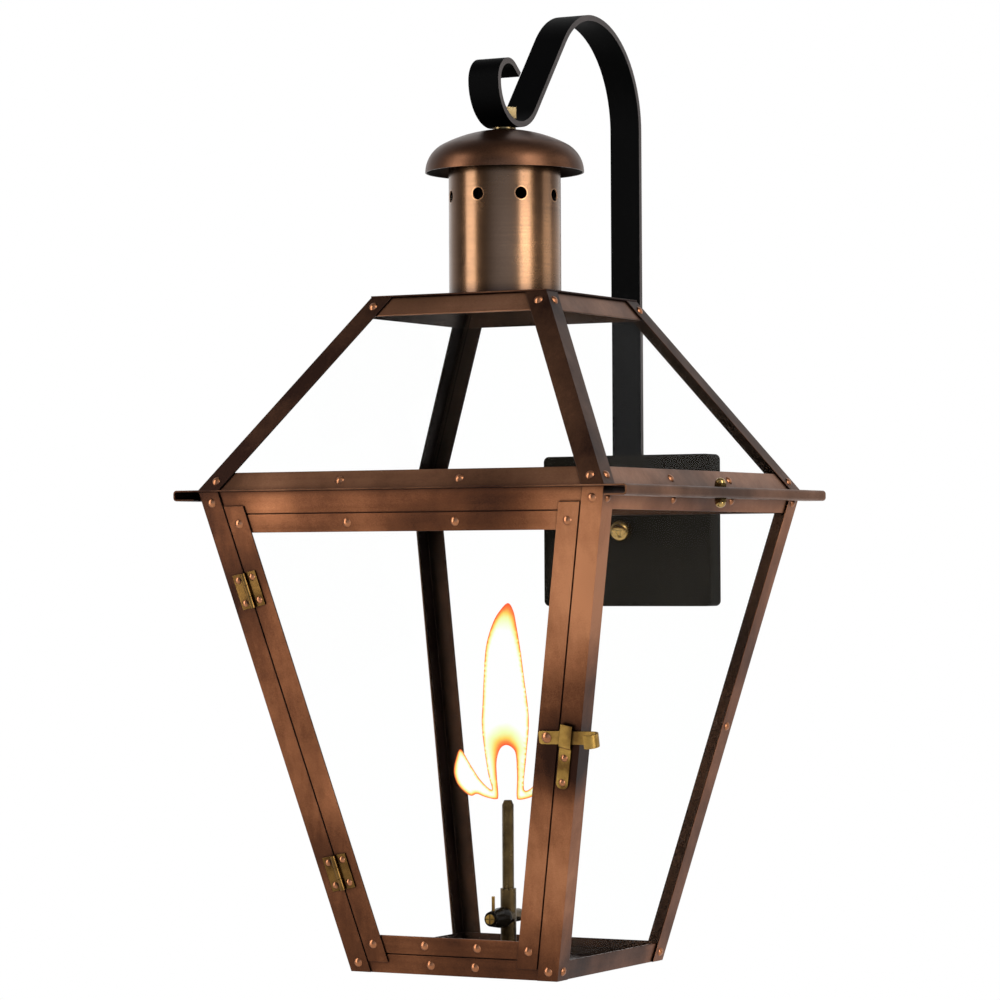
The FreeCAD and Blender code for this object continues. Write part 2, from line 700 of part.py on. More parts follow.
def hinges():
    axis_n = KNUCKLE_R + KNUCKLE_RISE
    third = LEAF_H / 3
    leaves = {-1: [], 1: []}
    pins = []
    along = Vector(0, 1, 0)
    spans = {-1: [(-LEAF_H / 2, third), (third / 2, third)], 1: [(-third / 2, third)]}
    for hand in leaves:
        leaf = Part.makeBox(LEAF_W, LEAF_H, LEAF_T, Vector(min(0, hand * LEAF_W), -LEAF_H / 2, 0))
        relief_w = KNUCKLE_R + KNUCKLE_RISE
        for start, length in spans[-hand]:
            corner = Vector(min(0, hand * relief_w), start - KNUCKLE_GAP, 0)
            leaf = leaf.cut(Part.makeBox(relief_w, length + 2 * KNUCKLE_GAP, LEAF_T, corner))
        for start, length in spans[hand]:
            foot = Vector(0, start, axis_n)
            leaf = leaf.fuse(prism(SMALL_ROUND_SIDES, 2 * KNUCKLE_R, length, foot, along))
            bore = prism(SMALL_ROUND_SIDES, 2 * (HINGE_PIN_R + HINGE_GRIP), length, foot, along)
            if hand == 1:
                bore = cylinder(HINGE_PIN_R + HINGE_RUN, foot, along, length)
            leaf = leaf.cut(bore)
        if hand == 1:
            for start in (-third / 2, third / 2 - KNUCKLE_GAP):
                corner = Vector(-axis_n, start, 0)
                leaf = leaf.cut(Part.makeBox(2 * axis_n, KNUCKLE_GAP, 2 * axis_n, corner))
        for level in (HINGE_UPPER, HINGE_LOWER):
            leaves[hand].append(BODY.lay(on_left_seam(leaf, level)))
    for level in (HINGE_UPPER, HINGE_LOWER):
        pin = cylinder(HINGE_PIN_R, Vector(0, -LEAF_H / 2, axis_n), along, LEAF_H)
        pins.append(BODY.lay(on_left_seam(pin, level)))
    keep("frame_hinge_leaves", hang(Part.Compound(leaves[-1])))
    keep("door_hinge_leaves", hang(Part.Compound(leaves[1])))
    keep("hinge_pins", hang(Part.Compound(pins)))


def door_stops():
    """Strips on the posts and the rails that the shut door rests on, behind its seams."""
    levels = (BOTTOM_RAIL_V, TOP_RAIL_V)
    outer = [(BODY.edge_u(v, POST_W - STOP_GRIP), v) for v in levels]
    inner = [(BODY.edge_u(v, STILE_IN + STOP_LAP), v) for v in reversed(levels)]
    upright_stop = BODY.plate(outer + inner, SHEET, STOP_T)
    strips = [upright_stop, upright_stop.mirror(Vector(), Vector(1, 0, 0))]
    for low, high in (
        (DOOR_TOP_V - STOP_LAP, TOP_RAIL_V + STOP_GRIP),
        (BOTTOM_RAIL_V - STOP_GRIP, DOOR_FOOT_V + STOP_LAP),
    ):
        low_u, high_u = (BODY.edge_u(v, STILE_IN + STOP_LAP) for v in (low, high))
        outline = [(-low_u, low), (low_u, low), (high_u, high), (-high_u, high)]
        strips.append(BODY.plate(outline, 2 * SHEET, STOP_T))
    keep("door_stops", hang(Part.Compound(strips)))


def door():
    v_low = BOTTOM_RAIL_V - STILE_LAP
    v_high = TOP_RAIL_V + STILE_LAP
    outer = [(BODY.edge_u(v, STILE_IN), v) for v in (v_low, v_high)]
    inner = [(BODY.edge_u(v, STILE_IN + STILE_W), v) for v in (v_high, v_low)]
    stile = BODY.plate(outer + inner, 0, SHEET)
    keep("door_stile_right", hang(stile))
    keep("door_stile_left", hang(stile.mirror(Vector(), Vector(1, 0, 0))))
    for name, low, high in (
        ("door_top_rail", DOOR_TOP_V - DOOR_RAIL_W, DOOR_TOP_V),
        ("door_bottom_rail", DOOR_FOOT_V, DOOR_FOOT_V + DOOR_RAIL_W),
    ):
        low_u = BODY.edge_u(low, STILE_IN + STOP_LAP + STOP_RUN)
        high_u = BODY.edge_u(high, STILE_IN + STOP_LAP + STOP_RUN)
        outline = [(-low_u, low), (low_u, low), (high_u, high), (-high_u, high)]
        keep(name, hang(BODY.plate(outline, SHEET, SHEET)))
    low = DOOR_FOOT_V + DOOR_PANE_EDGE
    high = DOOR_TOP_V - DOOR_PANE_EDGE
    low_u = BODY.edge_u(low, STILE_IN + STILE_W - DOOR_PANE_LAP)
    high_u = BODY.edge_u(high, STILE_IN + STILE_W - DOOR_PANE_LAP)
    outline = [(-low_u, low), (low_u, low), (high_u, high), (-high_u, high)]
    keep("door_glass", hang(BODY.plate(outline, 2 * SHEET + GLASS_BED, GLASS_T)))

    heads = []
    rows = (
        (DOOR_TOP_V - DOOR_RAIL_W / 2, DOOR_RIVET_SPREAD_TOP),
        (DOOR_FOOT_V + DOOR_RAIL_W / 2, DOOR_RIVET_SPREAD_FOOT),
    )
    for v, gap in rows:
        heads += [BODY.rivet(hand * BODY.edge_u(v, STILE_MID), v, 0) for hand in (-1, 1)]
        heads += [BODY.rivet(u, v, -SHEET) for u in spread(gap)]
    for level in (HINGE_UPPER, HINGE_LOWER):
        heads += leaf_rivets(1, level)
    neck = TONGUE_CLEAR + TONGUE_T + TONGUE_CLEAR
    pivot = dome_head(LATCH_HEAD_R, RIVET_H).translated(Vector(0, 0, neck))
    pivot = pivot.fuse(cylinder(LATCH_PIN_R, Vector(), UP, neck))
    heads.append(BODY.lay(pivot.translated(Vector(BODY.edge_u(-LATCH_DOWN, STILE_MID), -LATCH_DOWN, 0))))
    keep("door_rivets", hang(Part.Compound(heads)))


def latch():
    mid_n = TONGUE_CLEAR + TONGUE_T / 2
    moves = [(TONGUE_TAIL + TONGUE_REACH, 0), (TONGUE_CURL_R, 180), (TONGUE_END, 0)]
    tongue = crosswise(ribbon((-TONGUE_TAIL, mid_n), 0, moves, TONGUE_T), TONGUE_H)
    tail = [e for e in tongue.Edges if e.BoundBox.XMax < NEAR - TONGUE_TAIL and e.BoundBox.YLength < NEAR]
    tongue = tongue.makeFillet(TONGUE_CORNER_R, tail)
    tongue = tongue.cut(cylinder(LATCH_PIN_R + LATCH_RUN, Vector(), UP, mid_n + TONGUE_T))
    pivot = Vector(BODY.edge_u(-LATCH_DOWN, STILE_MID), -LATCH_DOWN, 0)
    keep("latch_tongue", hang(BODY.lay(tongue.translated(pivot))))

    rise = TONGUE_CLEAR + TONGUE_T + TONGUE_CLEAR
    turn = math.radians(KEEPER_BEND)
    slant = (rise - 2 * KEEPER_BEND_R * (1 - math.cos(turn))) / math.sin(turn)
    joggle = 2 * KEEPER_BEND_R * math.sin(turn) + slant * math.cos(turn)
    foot = KEEPER_BELOW - TONGUE_H / 2 - KEEPER_SLOT - joggle
    moves = [
        (foot, 0),
        (KEEPER_BEND_R, KEEPER_BEND),
        (slant, 0),
        (KEEPER_BEND_R, -KEEPER_BEND),
        (KEEPER_SLOT + TONGUE_H / 2 + KEEPER_ABOVE, 0),
    ]
    keeper = upright(ribbon((-KEEPER_BELOW, KEEPER_T / 2), 0, moves, KEEPER_T), KEEPER_W)
    foot_edges = [e for e in keeper.Edges if e.BoundBox.YMax < NEAR - KEEPER_BELOW]
    corners = [e for e in foot_edges if e.BoundBox.ZLength > KEEPER_T / 2]
    keeper = keeper.makeFillet(KEEPER_CORNER_R, corners)
    keep("latch_keeper", hang(BODY.lay(on_right_post(keeper))))


def burner():
    front = Vector(0, -1, 0)
    foot = FLOOR_UP - BURNER_BELOW
    seat = FLOOR_UP + PAN_T
    shell = cylinder(BURNER_R, Vector(0, 0, foot), UP, BURNER_UP - foot)
    shell = shell.fuse(prism(HEX_SIDES, BURNER_COLLAR_AF, BURNER_COLLAR_H, Vector(0, 0, seat)))
    shell = shell.fuse(cylinder(VALVE_BOSS_R, Vector(0, 0, VALVE_UP), front, VALVE_BOSS_OUT))
    shell = shell.fuse(prism(SMALL_ROUND_SIDES, 2 * VALVE_BACK_R, VALVE_BACK_OUT, Vector(0, 0, VALVE_UP), -front))
    socket = prism(SMALL_ROUND_SIDES, 2 * TUBE_R + FIT, TUBE_SOCKET, Vector(0, 0, BURNER_UP - TUBE_SOCKET))
    shell = shell.cut(socket)
    shell = shell.cut(cylinder(INLET_R, Vector(0, 0, foot), UP, INLET_DEEP))
    bore_l = VALVE_BOSS_OUT + STEM_IN + FIT
    mouth = Vector(0, -VALVE_BOSS_OUT, VALVE_UP)
    bore = prism(SMALL_ROUND_SIDES, 2 * (STEM_R + STEM_RUN), bore_l, mouth, -front)
    keep("burner_body", hang(shell.cut(bore)))

    nut = prism(HEX_SIDES, FLOOR_NUT_AF, FLOOR_NUT_H, Vector(0, 0, FLOOR_UP - FLOOR_NUT_H))
    hole = prism(SMALL_ROUND_SIDES, 2 * BURNER_R + FIT, FLOOR_NUT_H, Vector(0, 0, FLOOR_UP - FLOOR_NUT_H))
    keep("floor_nut", hang(nut.cut(hole)))

    tube_z = BURNER_UP - TUBE_SOCKET
    tube_l = TUBE_SOCKET + TUBE_H - TIP_H
    tube = cylinder(TUBE_R, Vector(0, 0, tube_z), UP, tube_l)
    keep("burner_tube", hang(tube.cut(cylinder(TUBE_BORE_R, Vector(0, 0, tube_z), UP, tube_l))))
    tip = turned([(TUBE_R, 0), (TIP_TOP_R, TIP_H)], TIP_SIDES)
    corner = Vector(-TUBE_R, -TIP_SLOT / 2, TIP_H - TIP_SLOT_DEEP)
    slit = Part.makeBox(2 * TUBE_R, TIP_SLOT, TIP_SLOT_DEEP, corner)
    keep("burner_tip", hang(tip.cut(slit).translated(Vector(0, 0, tube_z + tube_l))))


def valve():
    front = Vector(0, -1, 0)
    back = VALVE_BOSS_OUT + KNOB_GAP
    nose = back + KNOB_L
    outline = [(KNOB_R, back), (KNOB_R, back + KNOB_L / 3), (KNOB_NOSE_R, nose)]
    stem = cylinder(STEM_R, Vector(0, STEM_IN, 0), front, STEM_IN + back)
    pin_y = -nose + PIN_BACK
    pin_hole = prism(SMALL_ROUND_SIDES, 2 * PIN_R + FIT, KNOB_R, Vector(0, pin_y, PIN_FOOT))
    knob = turned(outline, KNOB_SIDES, front).fuse(stem).cut(pin_hole)
    level = Vector(0, 0, VALVE_UP)
    keep("valve_knob", hang(knob.translated(level)))

    screw = cylinder(SCREW_R, Vector(0, -nose, 0), front, SCREW_HEAD_H)
    for width, height in ((SCREW_SLOT, 3 * SCREW_R), (3 * SCREW_R, SCREW_SLOT)):
        corner = Vector(-width / 2, -nose - SCREW_HEAD_H, -height / 2)
        screw = screw.cut(Part.makeBox(width, SCREW_HEAD_H / 2, height, corner))
    keep("valve_screw", hang(screw.translated(level)))
    pin = cylinder(PIN_R, Vector(0, pin_y, PIN_FOOT), UP, PIN_TOP - PIN_FOOT)
    keep("valve_pin", hang(pin.translated(level)))


BRACKET = (wall_fixing, gooseneck, hanger)
LANTERN = (chimney, roof, shelf, body, rivets, hinges, door_stops, door, latch, burner, valve)
for build in BRACKET + LANTERN:
    build()

os.makedirs("parts", exist_ok=True)
for node_name, node_shape in SHAPES.items():
    node_shape.exportStep("parts/" + node_name + ".step")
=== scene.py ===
import json
import math

import bmesh
import bpy
from mathutils import Matrix, Vector
from mathutils.geometry import delaunay_2d_cdt


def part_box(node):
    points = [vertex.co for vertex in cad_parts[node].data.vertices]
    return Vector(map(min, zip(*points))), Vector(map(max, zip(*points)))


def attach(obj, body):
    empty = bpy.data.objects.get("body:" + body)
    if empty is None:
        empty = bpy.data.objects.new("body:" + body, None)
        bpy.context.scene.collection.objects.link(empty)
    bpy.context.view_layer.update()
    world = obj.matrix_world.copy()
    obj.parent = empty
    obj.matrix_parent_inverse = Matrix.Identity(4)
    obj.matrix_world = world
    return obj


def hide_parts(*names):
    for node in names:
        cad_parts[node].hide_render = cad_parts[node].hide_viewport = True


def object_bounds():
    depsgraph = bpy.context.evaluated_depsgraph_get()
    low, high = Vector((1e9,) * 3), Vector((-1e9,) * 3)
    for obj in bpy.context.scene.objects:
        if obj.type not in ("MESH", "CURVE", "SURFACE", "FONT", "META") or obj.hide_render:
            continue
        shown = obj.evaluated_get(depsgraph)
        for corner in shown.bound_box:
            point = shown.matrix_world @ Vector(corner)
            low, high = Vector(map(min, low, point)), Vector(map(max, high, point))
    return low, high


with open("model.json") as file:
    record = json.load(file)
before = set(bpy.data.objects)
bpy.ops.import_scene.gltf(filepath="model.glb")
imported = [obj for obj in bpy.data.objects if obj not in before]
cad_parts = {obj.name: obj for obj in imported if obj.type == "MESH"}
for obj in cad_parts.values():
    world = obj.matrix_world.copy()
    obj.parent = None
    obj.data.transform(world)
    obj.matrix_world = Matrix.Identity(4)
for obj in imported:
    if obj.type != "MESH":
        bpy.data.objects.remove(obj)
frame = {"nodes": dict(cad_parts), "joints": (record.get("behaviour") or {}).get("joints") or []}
cad_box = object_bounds()
NODES = frame["nodes"]
JOINTS = {joint["name"]: joint for joint in frame["joints"]}

# Camera, fitted to the photograph's corners
CAMERA_TURN = math.radians(28.479)
CAMERA_RISE = math.radians(-0.981)
CAMERA_ROLL = math.radians(-0.295)
CAMERA_AWAY = 3.312
CAMERA_AIM_RIGHT = -0.0054
CAMERA_AIM_UP = -0.0080
CAMERA_LENS = 139.55
SENSOR = 36.0

# Places worked out from the frame
AXIS = Vector(JOINTS["valve_turn"]["pos_m"][:2] + [0.0])
EAVE_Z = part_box("shelf_tray")[1].z
FLAME_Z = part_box("burner_tip")[1].z

# Edge rounding of folded sheet and bar, and what keeps its flat faces flat
EDGE_ROUND = 0.0004
FINE_ROUND = 0.0002
EDGE_STEPS = 2
SHARP_ANGLE = math.radians(32)
WELD_GAP = 0.000005
FLAT_ANGLE = math.radians(0.3)
FLAT_WEIGHT = 80

# How far glass is drawn in from the metal that holds it
GLASS_CLEAR = 0.00006

# Usual range of a noise, what counts as an open face or a deep corner, and the width of the turn inward
NOISE_LOW = 0.3
NOISE_HIGH = 0.7
OPEN_FACE = 0.97
DEEP_CORNER = 0.58
CORNER_SAMPLES = 16
INWARD_BLEND = 0.004


class Shader:
    """Node tree of one material, built from its principled shader backwards."""

    def __init__(self, name):
        self.material = bpy.data.materials.new(name)
        self.material.use_nodes = True
        self.tree = self.material.node_tree
        self.surface = self.tree.nodes["Principled BSDF"]
        self.coords = self.add("ShaderNodeTexCoord")

    def add(self, kind, **settings):
        node = self.tree.nodes.new(kind)
        for key, value in settings.items():
            setattr(node, key, value)
        return node

    def link(self, source, target):
        self.tree.links.new(source, target)

    def feed(self, socket, value):
        """Link a socket to another one, or set it to a value."""
        if isinstance(value, bpy.types.NodeSocket):
            self.link(value, socket)
        else:
            socket.default_value = value

    def set(self, **values):
        """Set inputs of the principled shader by name, with spaces written as underscores."""
        for key, value in values.items():
            self.feed(self.surface.inputs[key.replace("_", " ")], value)

    def noise(self, scale, detail=3.0, stretch=(1, 1, 1), roughness=0.5):
        mapping = self.add("ShaderNodeMapping")
        mapping.inputs["Scale"].default_value = stretch
        self.link(self.coords.outputs["Object"], mapping.inputs["Vector"])
        node = self.add("ShaderNodeTexNoise")
        node.inputs["Scale"].default_value = scale
        node.inputs["Detail"].default_value = detail
        node.inputs["Roughness"].default_value = roughness
        self.link(mapping.outputs["Vector"], node.inputs["Vector"])
        return node.outputs["Fac"]

    def ramp(self, factor, stops):
        node = self.add("ShaderNodeValToRGB")
        elements = node.color_ramp.elements
        while len(elements) < len(stops):
            elements.new(0.5)
        for element, (place, colour) in zip(elements, stops):
            element.position = place
            element.color = (*colour, 1.0)
        self.link(factor, node.inputs["Fac"])
        return node.outputs["Color"]

    def spread(self, factor, low, high, out_low=0.0, out_high=1.0):
        node = self.add("ShaderNodeMapRange")
        node.clamp = True
        ends = (("From Min", low), ("From Max", high), ("To Min", out_low), ("To Max", out_high))
        for key, value in ends:
            node.inputs[key].default_value = value
        self.link(factor, node.inputs["Value"])
        return node.outputs["Result"]

    def math(self, operation, *values):
        node = self.add("ShaderNodeMath", operation=operation)
        for socket, value in zip(node.inputs, values):
            self.feed(socket, value)
        return node.outputs["Value"]

    def mix(self, factor, first, second):
        node = self.add("ShaderNodeMix", data_type="RGBA")
        self.feed(node.inputs["Factor"], factor)
        for socket, value in ((node.inputs["A"], first), (node.inputs["B"], second)):
            self.feed(socket, value if isinstance(value, bpy.types.NodeSocket) else (*value, 1.0))
        return node.outputs["Result"]

    def crevice(self, distance):
        """1 in corners and beside rivets, 0 on open faces."""
        node = self.add("ShaderNodeAmbientOcclusion", samples=CORNER_SAMPLES)
        node.inputs["Distance"].default_value = distance
        return self.spread(node.outputs["AO"], OPEN_FACE, DEEP_CORNER)

    def near(self, spot, core, reach):
        """1 within the core of a place, fading to 0 at its reach."""
        gap = self.add("ShaderNodeVectorMath", operation="DISTANCE")
        self.link(self.coords.outputs["Object"], gap.inputs[0])
        gap.inputs[1].default_value = spot
        return self.spread(gap.outputs["Value"], core, reach, 1.0, 0.0)

    def inward(self):
        """1 on faces that look towards the lantern's axis, 0 on faces that look away."""
        shift = self.add("ShaderNodeVectorMath", operation="SUBTRACT")
        self.link(self.coords.outputs["Object"], shift.inputs[0])
        shift.inputs[1].default_value = AXIS
        level = self.add("ShaderNodeVectorMath", operation="MULTIPLY")
        self.link(shift.outputs["Vector"], level.inputs[0])
        level.inputs[1].default_value = (1, 1, 0)
        dot = self.add("ShaderNodeVectorMath", operation="DOT_PRODUCT")
        self.link(level.outputs["Vector"], dot.inputs[0])
        self.link(self.coords.outputs["Normal"], dot.inputs[1])
        return self.spread(dot.outputs["Value"], INWARD_BLEND, -INWARD_BLEND)

    def bump(self, height, strength, distance):
        node = self.add("ShaderNodeBump")
        node.inputs["Strength"].default_value = strength
        node.inputs["Distance"].default_value = distance
        self.link(height, node.inputs["Height"])
        self.link(node.outputs["Normal"], self.surface.inputs["Normal"])


def middle(node):
    """Middle of a node's box."""
    low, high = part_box(node)
    return (low + high) / 2


# Chimney vents, as on the CAD tube
VENT_COUNT = 8
VENT_R = 0.005
VENT_DROP = 0.034
TUBE_LOW, TUBE_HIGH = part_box("chimney_tube")
TUBE_R = (TUBE_HIGH.x - TUBE_LOW.x) / 2
VENT_Z = TUBE_HIGH.z - VENT_DROP


def on_tube(turn, z, radius):
    """Point round the lantern's axis."""
    return Vector((AXIS.x + radius * math.cos(turn), AXIS.y + radius * math.sin(turn), z))


VENT_TURNS = [2 * math.pi * i / VENT_COUNT - math.pi / 2 for i in range(VENT_COUNT)]
VENTS = [on_tube(turn, VENT_Z, TUBE_R) for turn in VENT_TURNS]

# Places where the sheet is darker, round its fittings and on the rails, and painted highlights where it is
# lighter: reach, change of tone
STILE_LOW, STILE_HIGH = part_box("door_stile_right")
STILE_TOP = Vector((STILE_HIGH.x, STILE_LOW.y, STILE_HIGH.z))
STILE_FOOT = Vector((STILE_LOW.x, STILE_HIGH.y, STILE_LOW.z))
POST_LOW, POST_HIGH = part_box("corner_post_front_left")
POST_TOP = Vector((*POST_LOW.xy, POST_HIGH.z))
POST_FOOT = Vector((*POST_HIGH.xy, POST_LOW.z))
RAIL = middle("top_rail_front")
SPOT_CORE = 0.012
SPOTS_AND_PAINTED_HIGHLIGHTS = (
    # Negative changes darken the sheet; positive changes are painted highlights
    (middle("latch_keeper"), 0.044, -0.36),
    (POST_TOP, 0.060, -0.20),
    (POST_TOP.lerp(POST_FOOT, 0.12), 0.060, -0.20),
    (POST_TOP.lerp(POST_FOOT, 0.26), 0.065, -0.46),
    (POST_TOP.lerp(POST_FOOT, 0.55), 0.090, 0.12),
    (POST_TOP.lerp(POST_FOOT, 0.72), 0.055, -0.16),
    # Painted highlights on the right stile
    (STILE_TOP.lerp(STILE_FOOT, 0.14), 0.095, 0.42),
    (STILE_TOP.lerp(STILE_FOOT, 0.75), 0.065, 0.18),
    (RAIL + Vector((-0.115, 0, 0)), 0.045, 0.20),
    (RAIL + Vector((0.080, 0, 0)), 0.110, -0.12),
    (middle("door_top_rail"), 0.110, -0.10),
    # Painted highlight on the chimney tube's right side
    (on_tube(-0.15, (TUBE_LOW.z + VENT_Z) / 2, TUBE_R), 0.055, 0.22),
)

# Colours of the copper, from dark to light, and the ramps made of them
COPPER_DARK = (0.026, 0.011, 0.007)
COPPER_BROWN = (0.100, 0.037, 0.017)
COPPER_WARM = (0.230, 0.088, 0.039)
COPPER_LIGHT = (0.440, 0.185, 0.086)
TUBE_DARK = (0.045, 0.019, 0.008)
TUBE_BROWN = (0.105, 0.050, 0.022)
TUBE_WARM = (0.180, 0.094, 0.046)
TUBE_PALE = (0.400, 0.205, 0.095)
DULL_BROWN = (0.085, 0.038, 0.020)
DULL_WARM = (0.180, 0.082, 0.043)
DULL_LIGHT = (0.360, 0.172, 0.094)
OXIDE = (0.016, 0.011, 0.008)
PATINA = ((0.16, COPPER_DARK), (0.40, COPPER_BROWN), (0.62, COPPER_WARM), (0.90, COPPER_LIGHT))
DULL = ((0.16, COPPER_DARK), (0.40, DULL_BROWN), (0.62, DULL_WARM), (0.90, DULL_LIGHT))
BURNISHED = ((0.10, TUBE_DARK), (0.34, TUBE_BROWN), (0.62, TUBE_WARM), (0.95, TUBE_PALE))

# Layers of the copper: how fine each one is and how much it changes the tone
MID_TONE = 0.5
CLOUD_SCALE = 7.0
PATCH_SCALE = 34.0
PATCH_SHARE = 0.25
BRUSH_SCALE = 180.0
BRUSH_WEIGHT = 0.16
SPECK_SCALE = 1100.0
SPECK_WEIGHT = 0.22
STAIN = 0.85
STAIN_REACH = 0.014
DULLER = 0.06
SHINIER = 0.03
RELIEF_DEPTH = 0.0002

# The burnished tube's lacquer, and painted highlights on the rims of its vents
LACQUER = 0.2
LACQUER_ROUGHNESS = 0.15
RIM_CORE = 1.1 * VENT_R
RIM_REACH = 1.3 * VENT_R
RIM_HIGHLIGHT = 0.3


def copper(
    name, grain, gloss=0.36, lift=0.0, relief=0.05, tones=PATINA, cloud=1.3, soot=0.9, spots=SPOTS_AND_PAINTED_HIGHLIGHTS
):
    """Antique copper sheet: warm patches in brown patina, darker in the joints and on the inner faces, with
    darker spots and painted highlights at the listed places, and painted highlights round the tube's vents.
    """
    paint = Shader(name)
    clouds = paint.noise(CLOUD_SCALE, detail=2.0)
    patches = paint.noise(PATCH_SCALE, detail=4.0, roughness=0.6)
    brushed = paint.noise(BRUSH_SCALE, detail=2.0, stretch=grain)
    speckle = paint.noise(SPECK_SCALE, detail=2.0)
    layers = (
        (clouds, cloud), (patches, cloud * PATCH_SHARE), (brushed, BRUSH_WEIGHT), (speckle, SPECK_WEIGHT)
    )
    tone = MID_TONE + lift - sum(weight for layer, weight in layers) / 2
    for layer, weight in layers:
        tone = paint.math("MULTIPLY_ADD", layer, weight, tone)
    # Darker spots, and painted highlights where the change is positive
    for spot, reach, change in spots:
        tone = paint.math("MULTIPLY_ADD", paint.near(spot, SPOT_CORE, reach), change, tone)
    if tones is BURNISHED:
        # Painted highlights round the vents' rims
        for vent in VENTS:
            rim = paint.near(vent, RIM_CORE, RIM_REACH)
            tone = paint.math("MULTIPLY_ADD", rim, RIM_HIGHLIGHT, tone)
        paint.set(Coat_Weight=LACQUER, Coat_Roughness=LACQUER_ROUGHNESS)
    colour = paint.ramp(tone, tones)
    stained = paint.math("MULTIPLY", paint.crevice(STAIN_REACH), STAIN)
    colour = paint.mix(stained, colour, COPPER_DARK)
    colour = paint.mix(paint.math("MULTIPLY", paint.inward(), soot), colour, OXIDE)
    paint.set(Base_Color=colour, Metallic=1.0)
    paint.set(Roughness=paint.spread(patches, NOISE_LOW, NOISE_HIGH, gloss + DULLER, gloss - SHINIER))
    paint.bump(paint.math("ADD", brushed, speckle), relief, RELIEF_DEPTH)
    return paint.material


# Brass: where tarnish sets in and is full, its colour in the corners, and fine scratches
TARNISH = (0.045, 0.028, 0.010)
TARNISH_SCALE = 60.0
TARNISH_FROM = 0.38
TARNISH_FULL = 0.68
TARNISH_REACH = 0.010
TARNISH_SHARE = 0.8
BRASS_DULL = 0.15
SCRATCH_SCALE = 900.0
SCRATCH_STRETCH = (1, 1, 6)
SCRATCH_RELIEF = 0.10
FINE_DEPTH = 0.0001


def brass(name, light, dark, gloss):
    """Brass with brown tarnish in its corners and fine scratches."""
    paint = Shader(name)
    cloud = paint.noise(TARNISH_SCALE, detail=4.0)
    scratch = paint.noise(SCRATCH_SCALE, stretch=SCRATCH_STRETCH)
    colour = paint.mix(paint.spread(cloud, TARNISH_FROM, TARNISH_FULL), light, dark)
    corners = paint.math("MULTIPLY", paint.crevice(TARNISH_REACH), TARNISH_SHARE)
    paint.set(Base_Color=paint.mix(corners, colour, TARNISH), Metallic=1.0)
    paint.set(Roughness=paint.spread(cloud, NOISE_LOW, NOISE_HIGH, gloss, gloss + BRASS_DULL))
    paint.bump(scratch, SCRATCH_RELIEF, FINE_DEPTH)
    return paint.material


# Black paint: dust in its clouds, fine grit, and grey wear on narrow sides
DUST_SCALE = 14.0
DUST_FROM = 0.45
DUST_FULL = 0.75
DUST_SHARE = 0.6
GRIT_SCALE = 2200.0
PAINT_DULL = 0.12
NARROW_FROM = 0.4
NARROW_FULL = 0.9
WEAR_FROM = 0.2
WEAR_FULL = 0.6
WEAR_LEAST = 0.6


def black_paint(name, colour, dust, gloss, shine=0.02, worn=None):
    """Satin black coating with a fine texture, dusty in places and worn grey on a bar's narrow sides."""
    paint = Shader(name)
    cloud = paint.noise(DUST_SCALE, detail=4.0)
    grit = paint.noise(GRIT_SCALE, detail=2.0)
    coat = paint.mix(paint.spread(cloud, DUST_FROM, DUST_FULL, 0.0, DUST_SHARE), colour, dust)
    if worn:
        split = paint.add("ShaderNodeSeparateXYZ")
        paint.link(paint.coords.outputs["Normal"], split.inputs["Vector"])
        sideways = paint.math("ABSOLUTE", split.outputs["X"])
        narrow = paint.spread(sideways, NARROW_FROM, NARROW_FULL)
        wear = paint.spread(cloud, WEAR_FROM, WEAR_FULL, WEAR_LEAST, 1.0)
        coat = paint.mix(paint.math("MULTIPLY", narrow, wear), coat, worn)
    paint.set(Base_Color=coat, Metallic=0.0, Specular_IOR_Level=shine)
    paint.set(Roughness=paint.spread(cloud, NOISE_LOW, NOISE_HIGH, gloss, gloss + PAINT_DULL))
    paint.bump(grit, gloss / 2, FINE_DEPTH)
    return paint.material


# Zinc plating: its spangle and how dull that is
SPANGLE_SCALE = 260.0
SPANGLE = ((0.35, (0.36, 0.37, 0.38)), (0.65, (0.58, 0.59, 0.60)))
ZINC_GLOSS = 0.32
ZINC_DULL = 0.46


def zinc(name):
    """Zinc plated steel with a soft spangle."""
    paint = Shader(name)
    spangle = paint.noise(SPANGLE_SCALE, detail=2.0)
    paint.set(Base_Color=paint.ramp(spangle, SPANGLE), Metallic=1.0)
    paint.set(Roughness=paint.spread(spangle, NOISE_LOW, NOISE_HIGH, ZINC_GLOSS, ZINC_DULL))
    return paint.material


# Glass: thin panes that hardly bend the view, smeared in places
GLASS_TINT = (0.998, 1.0, 0.999, 1.0)
GLASS_IOR = 1.03
SMEAR_SCALE = 30.0
SMEAR_FROM = 0.45
SMEAR_FULL = 0.80
SMEAR_ROUGHNESS = 0.004


def window_glass(name):
    """Clear glass with a faint smear."""
    paint = Shader(name)
    smear = paint.noise(SMEAR_SCALE, detail=5.0)
    paint.set(Base_Color=GLASS_TINT, Transmission_Weight=1.0, IOR=GLASS_IOR)
    paint.set(Roughness=paint.spread(smear, SMEAR_FROM, SMEAR_FULL, 0.0, SMEAR_ROUGHNESS))
    return paint.material


